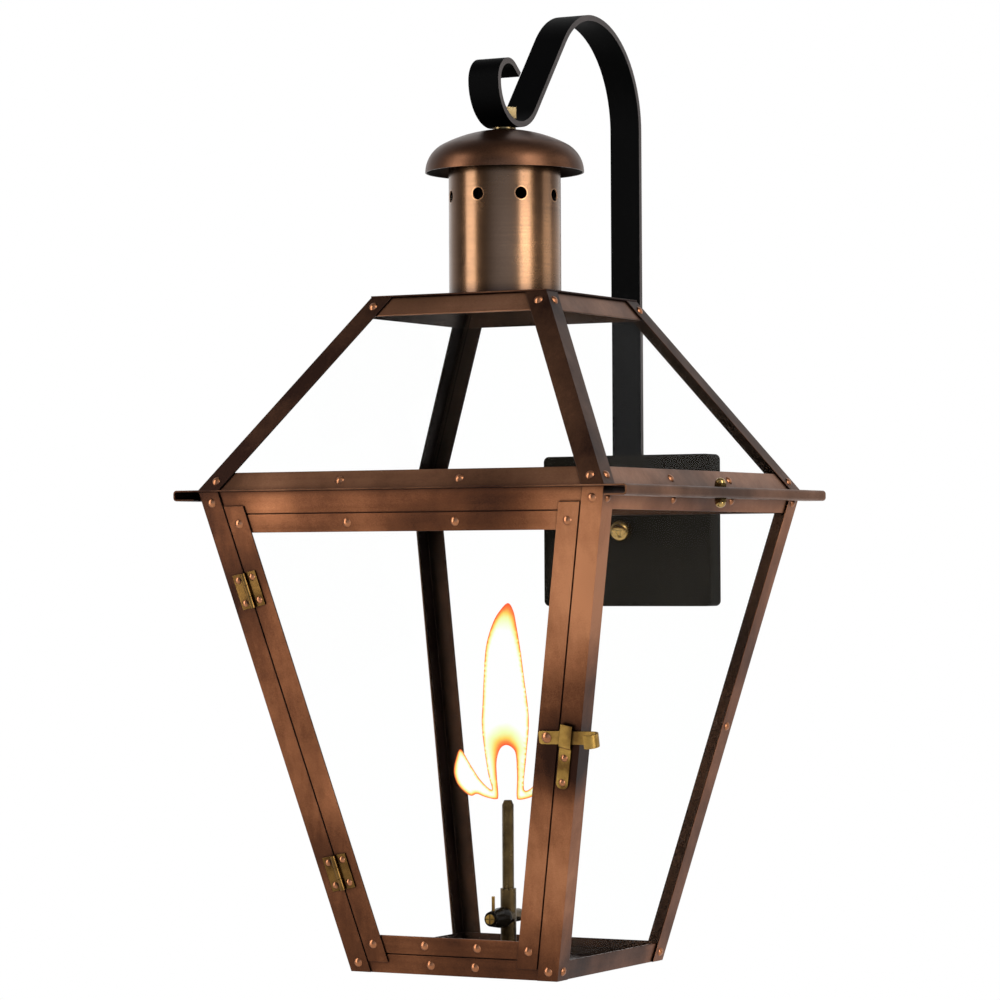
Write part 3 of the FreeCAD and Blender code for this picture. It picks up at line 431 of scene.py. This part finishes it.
# Every material, by the name of its finish
MATERIALS = {
    "upright": copper("copper_upright", (1, 1, 0.04)),
    "across": copper("copper_across", (0.04, 1, 1)),
    "along": copper("copper_along", (1, 0.04, 1)),
    "roof": copper("copper_roof", (0.04, 1, 1), lift=0.04, tones=DULL),
    "ring": copper("copper_ring", (0.04, 1, 1), lift=0.08, tones=DULL),
    # Shelf: the whole tray darkened as painted shade
    "shelf": copper("copper_shelf_painted_shade", (1, 0.04, 1), gloss=0.44, lift=-0.12, tones=DULL, soot=0.0),
    # Hips: copper darkened as painted shade
    "hip": copper("copper_hip_painted_shade", (1, 1, 0.3), gloss=0.42, lift=-0.32, tones=DULL),
    "sooty": copper("copper_sooty", (1, 1, 1), gloss=0.50, lift=-0.35, tones=DULL),
    "spun": copper("copper_spun", (0.3, 0.3, 1), gloss=0.38, lift=-0.06, tones=DULL, cloud=0.5),
    "tube": copper("copper_tube", (0.1, 0.1, 4), gloss=0.23, relief=0.006, tones=BURNISHED, cloud=0.3),
    # Rivets: lighter copper than the sheet, partly as a painted highlight
    "rivet": copper("copper_rivet", (1, 1, 1), gloss=0.30, lift=0.32, relief=0.03, cloud=0.5, spots=()),
    "iron": black_paint(
        "black_iron", (0.0008, 0.0008, 0.0008), (0.0016, 0.0015, 0.0014), 0.45, worn=(0.070, 0.062, 0.060)
    ),
    "pan": black_paint("black_pan", (0.0070, 0.0058, 0.0038), (0.011, 0.009, 0.006), 0.50),
    "knob": black_paint("black_knob", (0.004, 0.003, 0.002), (0.008, 0.006, 0.004), 0.12, shine=0.06),
    "brass": brass("aged_brass", (0.42, 0.250, 0.062), (0.13, 0.068, 0.018), 0.30),
    "hinge": brass("hinge_brass", (0.180, 0.095, 0.026), (0.062, 0.030, 0.008), 0.20),
    "bright": brass("polished_brass", (0.46, 0.30, 0.105), (0.26, 0.155, 0.05), 0.14),
    "fresh": brass("fresh_brass", (0.72, 0.54, 0.28), (0.50, 0.34, 0.14), 0.20),
    "burner": brass("burner_brass", (0.086, 0.057, 0.024), (0.032, 0.021, 0.009), 0.26),
    "zinc": zinc("zinc_steel"),
    "glass": window_glass("window_glass"),
}

# Which nodes wear which finish; all others are upright copper
FINISH = {
    "bright": ("ball_nut", "acorn_nuts", "ledge_studs"),
    "fresh": ("hanger_bolt", "hanger_washer", "hanger_nuts"),
    "hip": ("roof_hip_front_right", "roof_hip_back_right", "roof_hip_back_left", "roof_hip_front_left"),
    "brass": ("latch_keeper", "latch_tongue", "valve_screw", "valve_pin"),
    "hinge": ("frame_hinge_leaves", "door_hinge_leaves", "hinge_pins"),
    "shelf": ("shelf_tray",),
    "sooty": ("floor_pan", "roof_top_plate"),
    "roof": ("roof_rail_front", "roof_rail_right", "roof_rail_back", "roof_rail_left"),
    "ring": ("roof_ring",),
    "burner": ("burner_body", "burner_tube", "burner_tip", "floor_nut"),
    "iron": ("gooseneck_strap",),
    "pan": ("wall_pan",),
    "knob": ("valve_knob",),
    "zinc": ("wall_bar", "wall_stud", "stud_spacer", "hanger_crossbar"),
    "rivet": ("frame_rivets", "door_rivets"),
    "glass": ("roof_glass", "body_glass", "door_glass"),
    "tube": ("chimney_tube",),
    "spun": ("chimney_cap",),
    "along": ("top_rail_right", "top_rail_left", "bottom_rail_right", "bottom_rail_left"),
    "across": (
        "top_rail_front", "top_rail_back", "bottom_rail_front", "bottom_rail_back", "door_top_rail",
        "door_bottom_rail",
    ),
}
FINISH_OF = {node: finish for finish, nodes in FINISH.items() for node in nodes}
FINE_FINISHES = ("brass", "hinge", "bright", "fresh", "burner", "knob")


def round_edges(piece, name, width):
    """Round every edge that is sharper than the sharp angle."""
    bevel = piece.modifiers.new(name, "BEVEL")
    bevel.width = width
    bevel.segments = EDGE_STEPS
    bevel.limit_method = "ANGLE"
    bevel.angle_limit = SHARP_ANGLE
    return bevel


def paint_node(node):
    """Give a CAD node its material and rounded edges, and leave its own mesh as it is."""
    piece = NODES[node]
    finish = FINISH_OF.get(node, "upright")
    piece.data.materials.clear()
    piece.data.materials.append(MATERIALS[finish])
    weld = piece.modifiers.new("weld", "WELD")
    weld.merge_threshold = WELD_GAP
    if finish == "glass":
        piece.visible_shadow = False
        clear = piece.modifiers.new("clear", "DISPLACE")
        clear.mid_level = 0.0
        clear.strength = -GLASS_CLEAR
        return
    flat = piece.modifiers.new("flat", "DECIMATE")
    flat.decimate_type = "DISSOLVE"
    flat.angle_limit = FLAT_ANGLE
    round_edges(piece, "edges", FINE_ROUND if finish in FINE_FINISHES else EDGE_ROUND)
    level = piece.modifiers.new("level", "WEIGHTED_NORMAL")
    level.mode = "FACE_AREA"
    level.weight = FLAT_WEIGHT


def new_piece(name, mesh, body, material):
    """Link a mesh as a piece that rides on a CAD body."""
    piece = bpy.data.objects.new(name, mesh)
    bpy.context.scene.collection.objects.link(piece)
    mesh.materials.append(MATERIALS[material])
    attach(piece, body)
    return piece


def lathe(shape, profile, place, sides, closed=False):
    """Add a turned form to a bmesh from (radius, height) points, placed by a matrix."""
    rings = []
    for radius, height in profile:
        ring = []
        for i in range(sides):
            turn = 2 * math.pi * i / sides
            spot = Vector((radius * math.cos(turn), radius * math.sin(turn), height))
            ring.append(shape.verts.new(place @ spot))
        rings.append(ring)
    pairs = list(zip(rings, rings[1:]))
    if closed:
        pairs.append((rings[-1], rings[0]))
    for low, high in pairs:
        for i in range(sides):
            shape.faces.new((low[i - 1], low[i], high[i], high[i - 1]))
    if not closed:
        shape.faces.new(list(reversed(rings[0])))
        shape.faces.new(rings[-1])


def arc(centre, radius, first, last, steps):
    """Points (radius, height) along an arc given in degrees."""
    points = []
    for i in range(steps + 1):
        turn = math.radians(first + (last - first) * i / steps)
        points.append((centre[0] + radius * math.cos(turn), centre[1] + radius * math.sin(turn)))
    return points


def mesh_from(shape, name):
    """Smooth mesh with sharp edges kept, made from a bmesh that is then freed."""
    bmesh.ops.recalc_face_normals(shape, faces=shape.faces)
    mesh = bpy.data.meshes.new(name)
    shape.to_mesh(mesh)
    shape.free()
    mesh.shade_smooth()
    mesh.set_sharp_from_angle(angle=SHARP_ANGLE)
    return mesh


def islands(node):
    """The separate solids of a CAD node, each as a list of its corner points."""
    mesh = NODES[node].data
    shape = bmesh.new()
    shape.from_mesh(mesh)
    bmesh.ops.remove_doubles(shape, verts=shape.verts, dist=WELD_GAP)
    seen = set()
    groups = []
    for start in shape.verts:
        if start in seen:
            continue
        group = []
        queue = [start]
        seen.add(start)
        while queue:
            vert = queue.pop()
            group.append(vert)
            for edge in vert.link_edges:
                other = edge.other_vert(vert)
                if other not in seen:
                    seen.add(other)
                    queue.append(other)
        groups.append([vert.co.copy() for vert in group])
    shape.free()
    return groups


# Rivet heads: facets, how much wider than the CAD ones, and the latch pivot, which has a shank
RIVET_SIDES = 20
RIVET_STEPS = 5
RIVET_END = 84
RIVET_SWELL = 1.22
HEAD_POINTS = 16
PIVOT_CLEAR = 0.0025
PIVOT_NECK = 0.0021


def head_of(points):
    """Seat, radius and top of a rivet head; the latch pivot's shank is left aside."""
    if len(points) > HEAD_POINTS:
        pin = Vector(JOINTS["latch_lift"]["pos_m"])
        axis = Vector(JOINTS["latch_lift"]["axis"])
        top = max(p.dot(axis) for p in points)
        points = [
            p for p in points
            if (p - pin).cross(axis).length > PIVOT_CLEAR or top - p.dot(axis) < WELD_GAP
        ]
    centre = sum(points, Vector()) / len(points)
    wide = sorted(points, key=lambda p: -(p - centre).length)
    half = len(points) // 2
    seat = sum(wide[:half], Vector()) / half
    top = sum(wide[half:], Vector()) / (len(points) - half)
    return seat, max((p - seat).length for p in wide[:half]), top


def rivet_domes(node, body):
    """Round rivet heads in place of a node's flat-sided ones, each on the same seat."""
    shape = bmesh.new()
    for points in islands(node):
        seat, radius, top = head_of(points)
        height = (top - seat).length
        turn = Vector((0, 0, 1)).rotation_difference(top - seat).to_matrix().to_4x4()
        radius *= RIVET_SWELL
        ball = (radius**2 + height**2) / (2 * height)
        low = math.degrees(math.asin((ball - height) / ball))
        profile = arc((0, height - ball), ball, low, RIVET_END, RIVET_STEPS)
        if len(points) > HEAD_POINTS:
            profile.insert(0, (PIVOT_CLEAR, -PIVOT_NECK))
            profile.insert(1, (PIVOT_CLEAR, 0))
        lathe(shape, profile, Matrix.Translation(seat) @ turn, RIVET_SIDES)
    name = node.replace("rivets", "rivet_domes")
    piece = new_piece(name, mesh_from(shape, name), body, "rivet")
    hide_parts(node)


# Spun cap: shoulder as a share of its radius, sheet, bolt hole and facets
CAP_SHOULDER = 27.0 / 68.0
CAP_SHEET = 0.0012
CAP_HOLE = 0.0051
CROWN_STEPS = 20
SHOULDER_STEPS = 24
CAP_SIDES = 128


def smooth_cap():
    """Spun cap with the CAD cap's arcs, rounded at its rim."""
    low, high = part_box("chimney_cap")
    radius = (high.x - low.x) / 2
    height = high.z - low.z
    shoulder = CAP_SHOULDER * radius
    inner_x = radius - shoulder
    crown = (inner_x**2 + height**2 - shoulder**2) / (2 * (height - shoulder))
    meet = math.degrees(math.atan2(crown - height, inner_x))
    loops = []
    for inset in (0.0, CAP_SHEET):
        top = math.degrees(math.acos(CAP_HOLE / (crown - inset)))
        loop = arc((0, height - crown), crown - inset, top, meet, CROWN_STEPS)
        loop += arc((inner_x, 0), shoulder - inset, meet, 0, SHOULDER_STEPS)[1:]
        loops.append(loop)
    shape = bmesh.new()
    place = Matrix.Translation(Vector((AXIS.x, AXIS.y, low.z)))
    lathe(shape, loops[0] + loops[1][::-1], place, CAP_SIDES, closed=True)
    piece = new_piece("spun_cap", mesh_from(shape, "spun_cap"), "frame", "spun")
    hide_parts("chimney_cap")


# Rolled tube: sheet, the square patch round each vent, and the steps of its faces
TUBE_SHEET = 0.0012
VENT_PATCH = 0.011
VENT_STEPS = 8
VENT_RINGS = (0.0, 0.5, 1.0)
BELOW_STEPS = 4
ABOVE_STEPS = 2


def even(first, last, steps):
    """Values in even steps, both ends included."""
    return [first + (last - first) * i / steps for i in range(steps + 1)]


def panel(shape, rows):
    """Quads between rows of points."""
    rows = [[shape.verts.new(point) for point in row] for row in rows]
    for low, high in zip(rows, rows[1:]):
        for i in range(1, len(low)):
            shape.faces.new((low[i - 1], low[i], high[i], high[i - 1]))


def vented_tube():
    """Rolled chimney tube with round vents under the cap."""
    step = 2 * math.pi / VENT_COUNT
    patch = VENT_PATCH / TUBE_R
    walls = (TUBE_R, TUBE_R - TUBE_SHEET)
    below = even(TUBE_LOW.z, VENT_Z - VENT_PATCH, BELOW_STEPS)
    beside = even(VENT_Z - VENT_PATCH, VENT_Z + VENT_PATCH, VENT_STEPS)
    above = even(VENT_Z + VENT_PATCH, TUBE_HIGH.z, ABOVE_STEPS)
    ends = even(-VENT_PATCH, VENT_PATCH, VENT_STEPS)
    square = [(u, -VENT_PATCH) for u in ends] + [(VENT_PATCH, v) for v in ends[1:]]
    square += [(-u, VENT_PATCH) for u in ends[1:]] + [(-VENT_PATCH, -v) for v in ends[1:]]
    shape = bmesh.new()
    for turn in VENT_TURNS:
        near = even(turn - patch, turn + patch, VENT_STEPS)
        gap = even(turn + patch, turn + step - patch, VENT_STEPS)
        rings = []
        for share in VENT_RINGS:
            ring = []
            for u, v in square:
                size = 1 - share + share * VENT_R / math.hypot(u, v)
                ring.append((turn + size * u / TUBE_R, VENT_Z + size * v))
            rings.append(ring)
        for radius in walls:
            panel(shape, [[on_tube(t, z, radius) for t in near] for z in below])
            panel(shape, [[on_tube(t, z, radius) for t in near] for z in above])
            panel(shape, [[on_tube(t, z, radius) for t in gap] for z in below + beside[1:] + above[1:]])
            panel(shape, [[on_tube(t, z, radius) for t, z in ring] for ring in rings])
        panel(shape, [[on_tube(t, z, radius) for t, z in rings[-1]] for radius in walls])
        for z in (TUBE_LOW.z, TUBE_HIGH.z):
            panel(shape, [[on_tube(t, z, radius) for t in near + gap[1:]] for radius in walls])
    bmesh.ops.remove_doubles(shape, verts=shape.verts, dist=WELD_GAP)
    piece = new_piece("vented_tube", mesh_from(shape, "vented_tube"), "frame", "tube")
    round_edges(piece, "rims", EDGE_ROUND).harden_normals = True
    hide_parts("chimney_tube")


# Ball nut: neck as a share of its radius, and facets
BALL_NECK = 7.0 / 10.5
BALL_END = 88
BALL_STEPS = 28
BALL_SIDES = 48


def smooth_ball():
    """Ball nut with a turned neck, on the CAD nut's seat."""
    low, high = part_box("ball_nut")
    radius = (high.x - low.x) / 2
    length = high.y - low.y
    neck = BALL_NECK * radius
    start = -math.degrees(math.acos(neck / radius))
    profile = [(neck, 0.0)] + arc((0, length - radius), radius, start, BALL_END, BALL_STEPS)
    turn = Matrix.Rotation(math.radians(90), 4, "X")
    place = Matrix.Translation(Vector(((low.x + high.x) / 2, high.y, (low.z + high.z) / 2)))
    shape = bmesh.new()
    lathe(shape, profile, place @ turn, BALL_SIDES)
    piece = new_piece("round_ball_nut", mesh_from(shape, "round_ball_nut"), "frame", "bright")
    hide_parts("ball_nut")


# Acorn nuts: the hexagon's share of the height, its foot, its two chamfers and the dome on it
HEX_SIDES = 6
HEX_SHARE = 0.45
HEX_FOOT = 0.94
HEX_LOW = 0.0004
HEX_HIGH = 0.0003
DOME_SHARE = 0.96
DOME_END = 86
DOME_STEPS = 8
DOME_SIDES = 32
LEDGE_NEAR = 0.003


def acorns():
    """Acorn nuts with a round crown and a washer face, on the CAD nuts' seats."""
    shape = bmesh.new()
    for points in islands("acorn_nuts"):
        low = Vector([min(p[i] for p in points) for i in range(3)])
        high = Vector([max(p[i] for p in points) for i in range(3)])
        flats = (high.y - low.y) / 2
        height = high.z - low.z
        up = low.z > EAVE_Z - LEDGE_NEAR
        seat = Vector(((low.x + high.x) / 2, (low.y + high.y) / 2, low.z if up else high.z))
        place = Matrix.Translation(seat)
        if not up:
            place = place @ Matrix.Rotation(math.pi, 4, "X")
        hex_top = HEX_SHARE * height
        corner = 2 * flats / math.sqrt(3)
        sides = [(corner, HEX_LOW), (corner, hex_top - HEX_HIGH)]
        lathe(shape, [(corner * HEX_FOOT, 0), *sides, (flats, hex_top)], place, HEX_SIDES)
        dome = arc((0, hex_top), height - hex_top, 0, DOME_END, DOME_STEPS)
        stretch = flats * DOME_SHARE / (height - hex_top)
        lathe(shape, [(r * stretch, h) for r, h in dome], place, DOME_SIDES)
    piece = new_piece("acorn_cap_nuts", mesh_from(shape, "acorn_cap_nuts"), "frame", "bright")
    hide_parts("acorn_nuts")


# Flame: half its thickness, how far in it is that thick, the grid of its inner points, and its colours
FLAME_HALF_T = 0.0022
FLAME_SWELL = 0.006
FLAME_GRID = 0.0022
FLAME_COLUMNS = range(-24, 22)
FLAME_ROWS = range(77)
FLAME_STEPS = 6
FLICKER_SCALE = 90.0
FLICKER = 0.16
FLAME_TONES = (
    (0.0, (1.0, 0.12, 0.04)), (0.16, (1.0, 0.28, 0.07)), (0.33, (1.0, 0.72, 0.14)),
    (0.53, (0.92, 1.0, 0.45)), (0.90, (1.0, 1.0, 1.0)),
)

# Flame outline in metres: across and above the burner tip, and how far its colour runs in from there
FLAME = [
    (0.0013, 0.1680, 0.026), (-0.0060, 0.1625, 0.014), (-0.0138, 0.1510, 0.008), (-0.0205, 0.1310, 0.006),
    (-0.0228, 0.1060, 0.005), (-0.0242, 0.0810, 0.005), (-0.0250, 0.0640, 0.005), (-0.0225, 0.0420, 0.004),
    (-0.0190, 0.0220, 0.0035), (-0.0155, 0.0085, 0.003), (-0.0260, 0.0160, 0.0025), (-0.0360, 0.0290, 0.002),
    (-0.0457, 0.0423, 0.004), (-0.0505, 0.0340, 0.005), (-0.0525, 0.0226, 0.006), (-0.0485, 0.0120, 0.005),
    (-0.0400, 0.0045, 0.0045), (-0.0350, 0.0028, 0.0045), (-0.0300, 0.0045, 0.0045), (-0.0220, 0.0020, 0.004),
    (-0.0118, 0.0004, 0.004), (-0.0092, 0.0035, 0.005), (-0.0105, 0.0200, 0.005), (-0.0107, 0.0330, 0.007),
    (-0.0075, 0.0430, 0.014), (-0.0018, 0.0468, 0.021), (0.0045, 0.0445, 0.016), (0.0080, 0.0383, 0.008),
    (0.0090, 0.0200, 0.006), (0.0085, 0.0040, 0.005), (0.0107, 0.0005, 0.004), (0.0220, 0.0028, 0.004),
    (0.0340, 0.0090, 0.005), (0.0440, 0.0220, 0.005), (0.0465, 0.0345, 0.004), (0.0400, 0.0290, 0.002),
    (0.0290, 0.0160, 0.0025), (0.0160, 0.0090, 0.003), (0.0178, 0.0350, 0.003), (0.0205, 0.0600, 0.003),
    (0.0202, 0.0770, 0.003), (0.0168, 0.1010, 0.003), (0.0131, 0.1270, 0.004), (0.0093, 0.1480, 0.007),
    (0.0064, 0.1610, 0.014),
]


def closed_curve(points, steps):
    """Smooth closed curve through the points."""
    result = []
    count = len(points)
    for i in range(count):
        p0, p1, p2, p3 = (points[(i + k) % count] for k in (-1, 0, 1, 2))
        for k in range(steps):
            t = k / steps
            a = 2 * p1
            b = p2 - p0
            c = 2 * p0 - 5 * p1 + 4 * p2 - p3
            d = 3 * p1 - p0 - 3 * p2 + p3
            result.append((a + b * t + c * t**2 + d * t**3) / 2)
    return result


def flame_material():
    """White heart with a yellow, orange and red rim, told by each point's share of the way in."""
    paint = Shader("gas_flame")
    heart = paint.add("ShaderNodeAttribute", attribute_name="heart")
    waver = paint.noise(FLICKER_SCALE, detail=2.0)
    flicker = paint.math("MULTIPLY_ADD", waver, FLICKER, -FLICKER / 2)
    colour = paint.ramp(paint.math("ADD", heart.outputs["Fac"], flicker), FLAME_TONES)
    paint.set(Base_Color=(0.0, 0.0, 0.0, 1.0), Roughness=1.0, Specular_IOR_Level=0.0)
    paint.set(Emission_Color=colour, Emission_Strength=1.0)
    return paint.material


def inside(outline, x, z):
    """Whether a point lies inside a closed outline."""
    crossings = 0
    for first, second in zip(outline, outline[1:] + outline[:1]):
        if (first.y > z) != (second.y > z):
            crossings += x < first.x + (z - first.y) * (second.x - first.x) / (second.y - first.y)
    return crossings % 2 == 1


def flame():
    """Fishtail flame over the tip: a thin lens whose points know how far in from the rim they lie."""
    MATERIALS["flame"] = flame_material()
    outline = closed_curve([Vector(point) for point in FLAME], FLAME_STEPS)
    points = [Vector((p.x, p.y)) for p in outline]
    loop = list(range(len(points)))
    for column in FLAME_COLUMNS:
        for row in FLAME_ROWS:
            x, z = column * FLAME_GRID, row * FLAME_GRID
            clear = min(math.hypot(p.x - x, p.y - z) for p in outline)
            if clear > FLAME_GRID / 2 and inside(outline, x, z):
                points.append(Vector((x, z)))
    filled = delaunay_2d_cdt(points, [], [loop], 1, WELD_GAP)
    flat, faces = filled[0], filled[2]
    shape = bmesh.new()
    layer = shape.verts.layers.float.new("heart")
    base = Vector((AXIS.x, AXIS.y, FLAME_Z))
    for side in (-1, 1):
        verts = []
        for spot in flat:
            gaps = [(math.hypot(p.x - spot.x, p.y - spot.y), p.z) for p in outline]
            thick = FLAME_HALF_T * min(1.0, min(gap for gap, glow in gaps) / FLAME_SWELL)
            vert = shape.verts.new(base + Vector((spot.x, side * thick, spot.y)))
            vert[layer] = min(1.0, min(gap / glow for gap, glow in gaps))
            verts.append(vert)
        for face in faces:
            shape.faces.new([verts[i] for i in face])
    bmesh.ops.remove_doubles(shape, verts=shape.verts, dist=WELD_GAP)
    piece = new_piece("gas_flame", mesh_from(shape, "gas_flame"), "frame", "flame")
    piece.visible_shadow = False


# Soft boxes: turn from the camera's side in degrees, distance, height above the eave, width, height, power
SOFT_BOXES = (
    ("left_box", -74.0, 2.4, 0.5, 1.0, 3.0, 57.0),
    ("right_box", 42.0, 2.6, 0.7, 1.1, 3.4, 74.0),
    ("side_box", 96.0, 2.4, 0.5, 1.0, 2.6, 11.0),
    ("top_box", 10.0, 1.6, 2.4, 1.8, 1.8, 6.0),
)

# The world's own light, and what metal sees of it from straight in front to straight behind
WORLD_LIGHT = 0.55
ROOM = (0.150, 0.155, 0.175)
WINDOW = (0.700, 0.900, 1.280)
WHITE = (1.0, 1.0, 1.0)
ROOM_STOPS = ((0.0, WINDOW), (0.12, ROOM), (0.62, ROOM), (0.93, WHITE))


def studio():
    """White studio: tall soft boxes beside the camera, a white world and a pale floor far below."""
    towards = Vector((math.sin(CAMERA_TURN), -math.cos(CAMERA_TURN), 0))
    aim = Vector((AXIS.x, AXIS.y, EAVE_Z))
    for name, turn, away, rise, wide, tall, power in SOFT_BOXES:
        way = Matrix.Rotation(math.radians(turn), 3, "Z") @ towards
        lamp = bpy.data.lights.new(name, "AREA")
        lamp.shape = "RECTANGLE"
        lamp.size = wide
        lamp.size_y = tall
        lamp.energy = power
        light = bpy.data.objects.new(name, lamp)
        light.visible_transmission = False
        bpy.context.scene.collection.objects.link(light)
        light.location = aim + way * away + Vector((0, 0, rise))
        light.rotation_euler = (aim - light.location).to_track_quat("-Z", "Y").to_euler()
    white_world()
    floor()


def white_world():
    """White to the eye and through glass; metal sees white behind and a dim room with a window in front."""
    world = bpy.data.worlds.new("studio")
    bpy.context.scene.world = world
    world.use_nodes = True
    tree = world.node_tree
    nodes = tree.nodes
    link = tree.links.new
    nodes.clear()
    rays = nodes.new("ShaderNodeLightPath")
    coords = nodes.new("ShaderNodeTexCoord")
    facing = nodes.new("ShaderNodeVectorMath")
    facing.operation = "DOT_PRODUCT"
    facing.inputs[1].default_value = (-math.sin(CAMERA_TURN), math.cos(CAMERA_TURN), 0)
    link(coords.outputs["Generated"], facing.inputs[0])
    share = nodes.new("ShaderNodeMapRange")
    share.inputs["From Min"].default_value = -1.0
    link(facing.outputs["Value"], share.inputs["Value"])
    room = nodes.new("ShaderNodeValToRGB")
    stops = room.color_ramp.elements
    for place, colour in ROOM_STOPS:
        stop = stops.new(place)
        stop.color = (*colour, 1)
    stops.remove(stops[0])
    stops.remove(stops[-1])
    link(share.outputs["Result"], room.inputs["Fac"])

    def choose(ray, picked, other):
        node = nodes.new("ShaderNodeMix")
        node.data_type = "RGBA"
        link(rays.outputs[ray], node.inputs["Factor"])
        for socket, value in ((node.inputs["B"], picked), (node.inputs["A"], other)):
            if isinstance(value, bpy.types.NodeSocket):
                link(value, socket)
            else:
                socket.default_value = (value, value, value, 1)
        return node.outputs["Result"]

    colour = choose("Is Glossy Ray", room.outputs["Color"], WORLD_LIGHT)
    colour = choose("Is Transmission Ray", 1.0, colour)
    colour = choose("Is Camera Ray", 1.0, colour)
    background = nodes.new("ShaderNodeBackground")
    link(colour, background.inputs["Color"])
    output = nodes.new("ShaderNodeOutputWorld")
    link(background.outputs["Background"], output.inputs["Surface"])


# Floor: how far below, its radius, where it starts and ends to glow white, and its tones
FLOOR_DROP = 1.3
FLOOR_R = 5.0
FLOOR_SIDES = 96
GLOW_FROM = 0.5 * FLOOR_R
GLOW_FULL = 0.97 * FLOOR_R
GLOW_LEAST = 0.55
FLOOR_SCALE = 6.0
FLOOR_TONES = ((0.3, (0.78, 0.78, 0.78)), (0.7, (0.82, 0.82, 0.82)))


def floor():
    """Pale floor below the hung lantern that fades into the white at its edge."""
    shape = bmesh.new()
    bmesh.ops.create_circle(shape, cap_ends=True, segments=FLOOR_SIDES, radius=FLOOR_R)
    mesh = bpy.data.meshes.new("floor")
    shape.to_mesh(mesh)
    shape.free()
    ground = bpy.data.objects.new("floor", mesh)
    bpy.context.scene.collection.objects.link(ground)
    ground.location = (AXIS.x, AXIS.y, cad_box[0].z - FLOOR_DROP)
    paint = Shader("pale_floor")
    distance = paint.add("ShaderNodeVectorMath", operation="LENGTH")
    paint.link(paint.coords.outputs["Object"], distance.inputs[0])
    fade = paint.spread(distance.outputs["Value"], GLOW_FROM, GLOW_FULL, GLOW_LEAST, 1.0)
    rays = paint.add("ShaderNodeLightPath")
    seen = paint.math("MAXIMUM", rays.outputs["Is Camera Ray"], rays.outputs["Is Transmission Ray"])
    seen = paint.math("MAXIMUM", seen, rays.outputs["Is Glossy Ray"])
    glow = paint.add("ShaderNodeEmission")
    glow.inputs["Color"].default_value = (*WHITE, 1.0)
    both = paint.add("ShaderNodeMixShader")
    paint.link(paint.math("MULTIPLY", fade, seen), both.inputs["Fac"])
    grain = paint.noise(FLOOR_SCALE)
    paint.set(Base_Color=paint.ramp(grain, FLOOR_TONES), Roughness=0.9)
    paint.link(paint.surface.outputs["BSDF"], both.inputs[1])
    paint.link(glow.outputs["Emission"], both.inputs[2])
    paint.link(both.outputs["Shader"], paint.tree.nodes["Material Output"].inputs["Surface"])
    mesh.materials.append(paint.material)


def camera():
    """Camera where the photograph was taken from."""
    turn, rise = CAMERA_TURN, CAMERA_RISE
    back = Vector((math.sin(turn) * math.cos(rise), -math.cos(turn) * math.cos(rise), math.sin(rise)))
    right = Vector((math.cos(turn), math.sin(turn), 0))
    up = back.cross(right)
    across = math.cos(CAMERA_ROLL) * right + math.sin(CAMERA_ROLL) * up
    above = math.cos(CAMERA_ROLL) * up - math.sin(CAMERA_ROLL) * right
    aim = Vector((AXIS.x, AXIS.y, EAVE_Z)) + CAMERA_AIM_RIGHT * across + CAMERA_AIM_UP * above
    lens = bpy.data.cameras.new("photo_camera")
    lens.sensor_fit = "HORIZONTAL"
    lens.sensor_width = SENSOR
    lens.lens = CAMERA_LENS
    view = bpy.data.objects.new("photo_camera", lens)
    bpy.context.scene.collection.objects.link(view)
    turned = Matrix((across, above, back)).transposed().to_4x4()
    view.matrix_world = Matrix.Translation(aim + back * CAMERA_AWAY) @ turned
    bpy.context.scene.camera = view


for node_name in NODES:
    paint_node(node_name)
rivet_domes("frame_rivets", "frame")
rivet_domes("door_rivets", "door")
smooth_cap()
vented_tube()
smooth_ball()
acorns()
flame()
studio()
camera()
bpy.context.scene.view_settings.view_transform = "Standard"
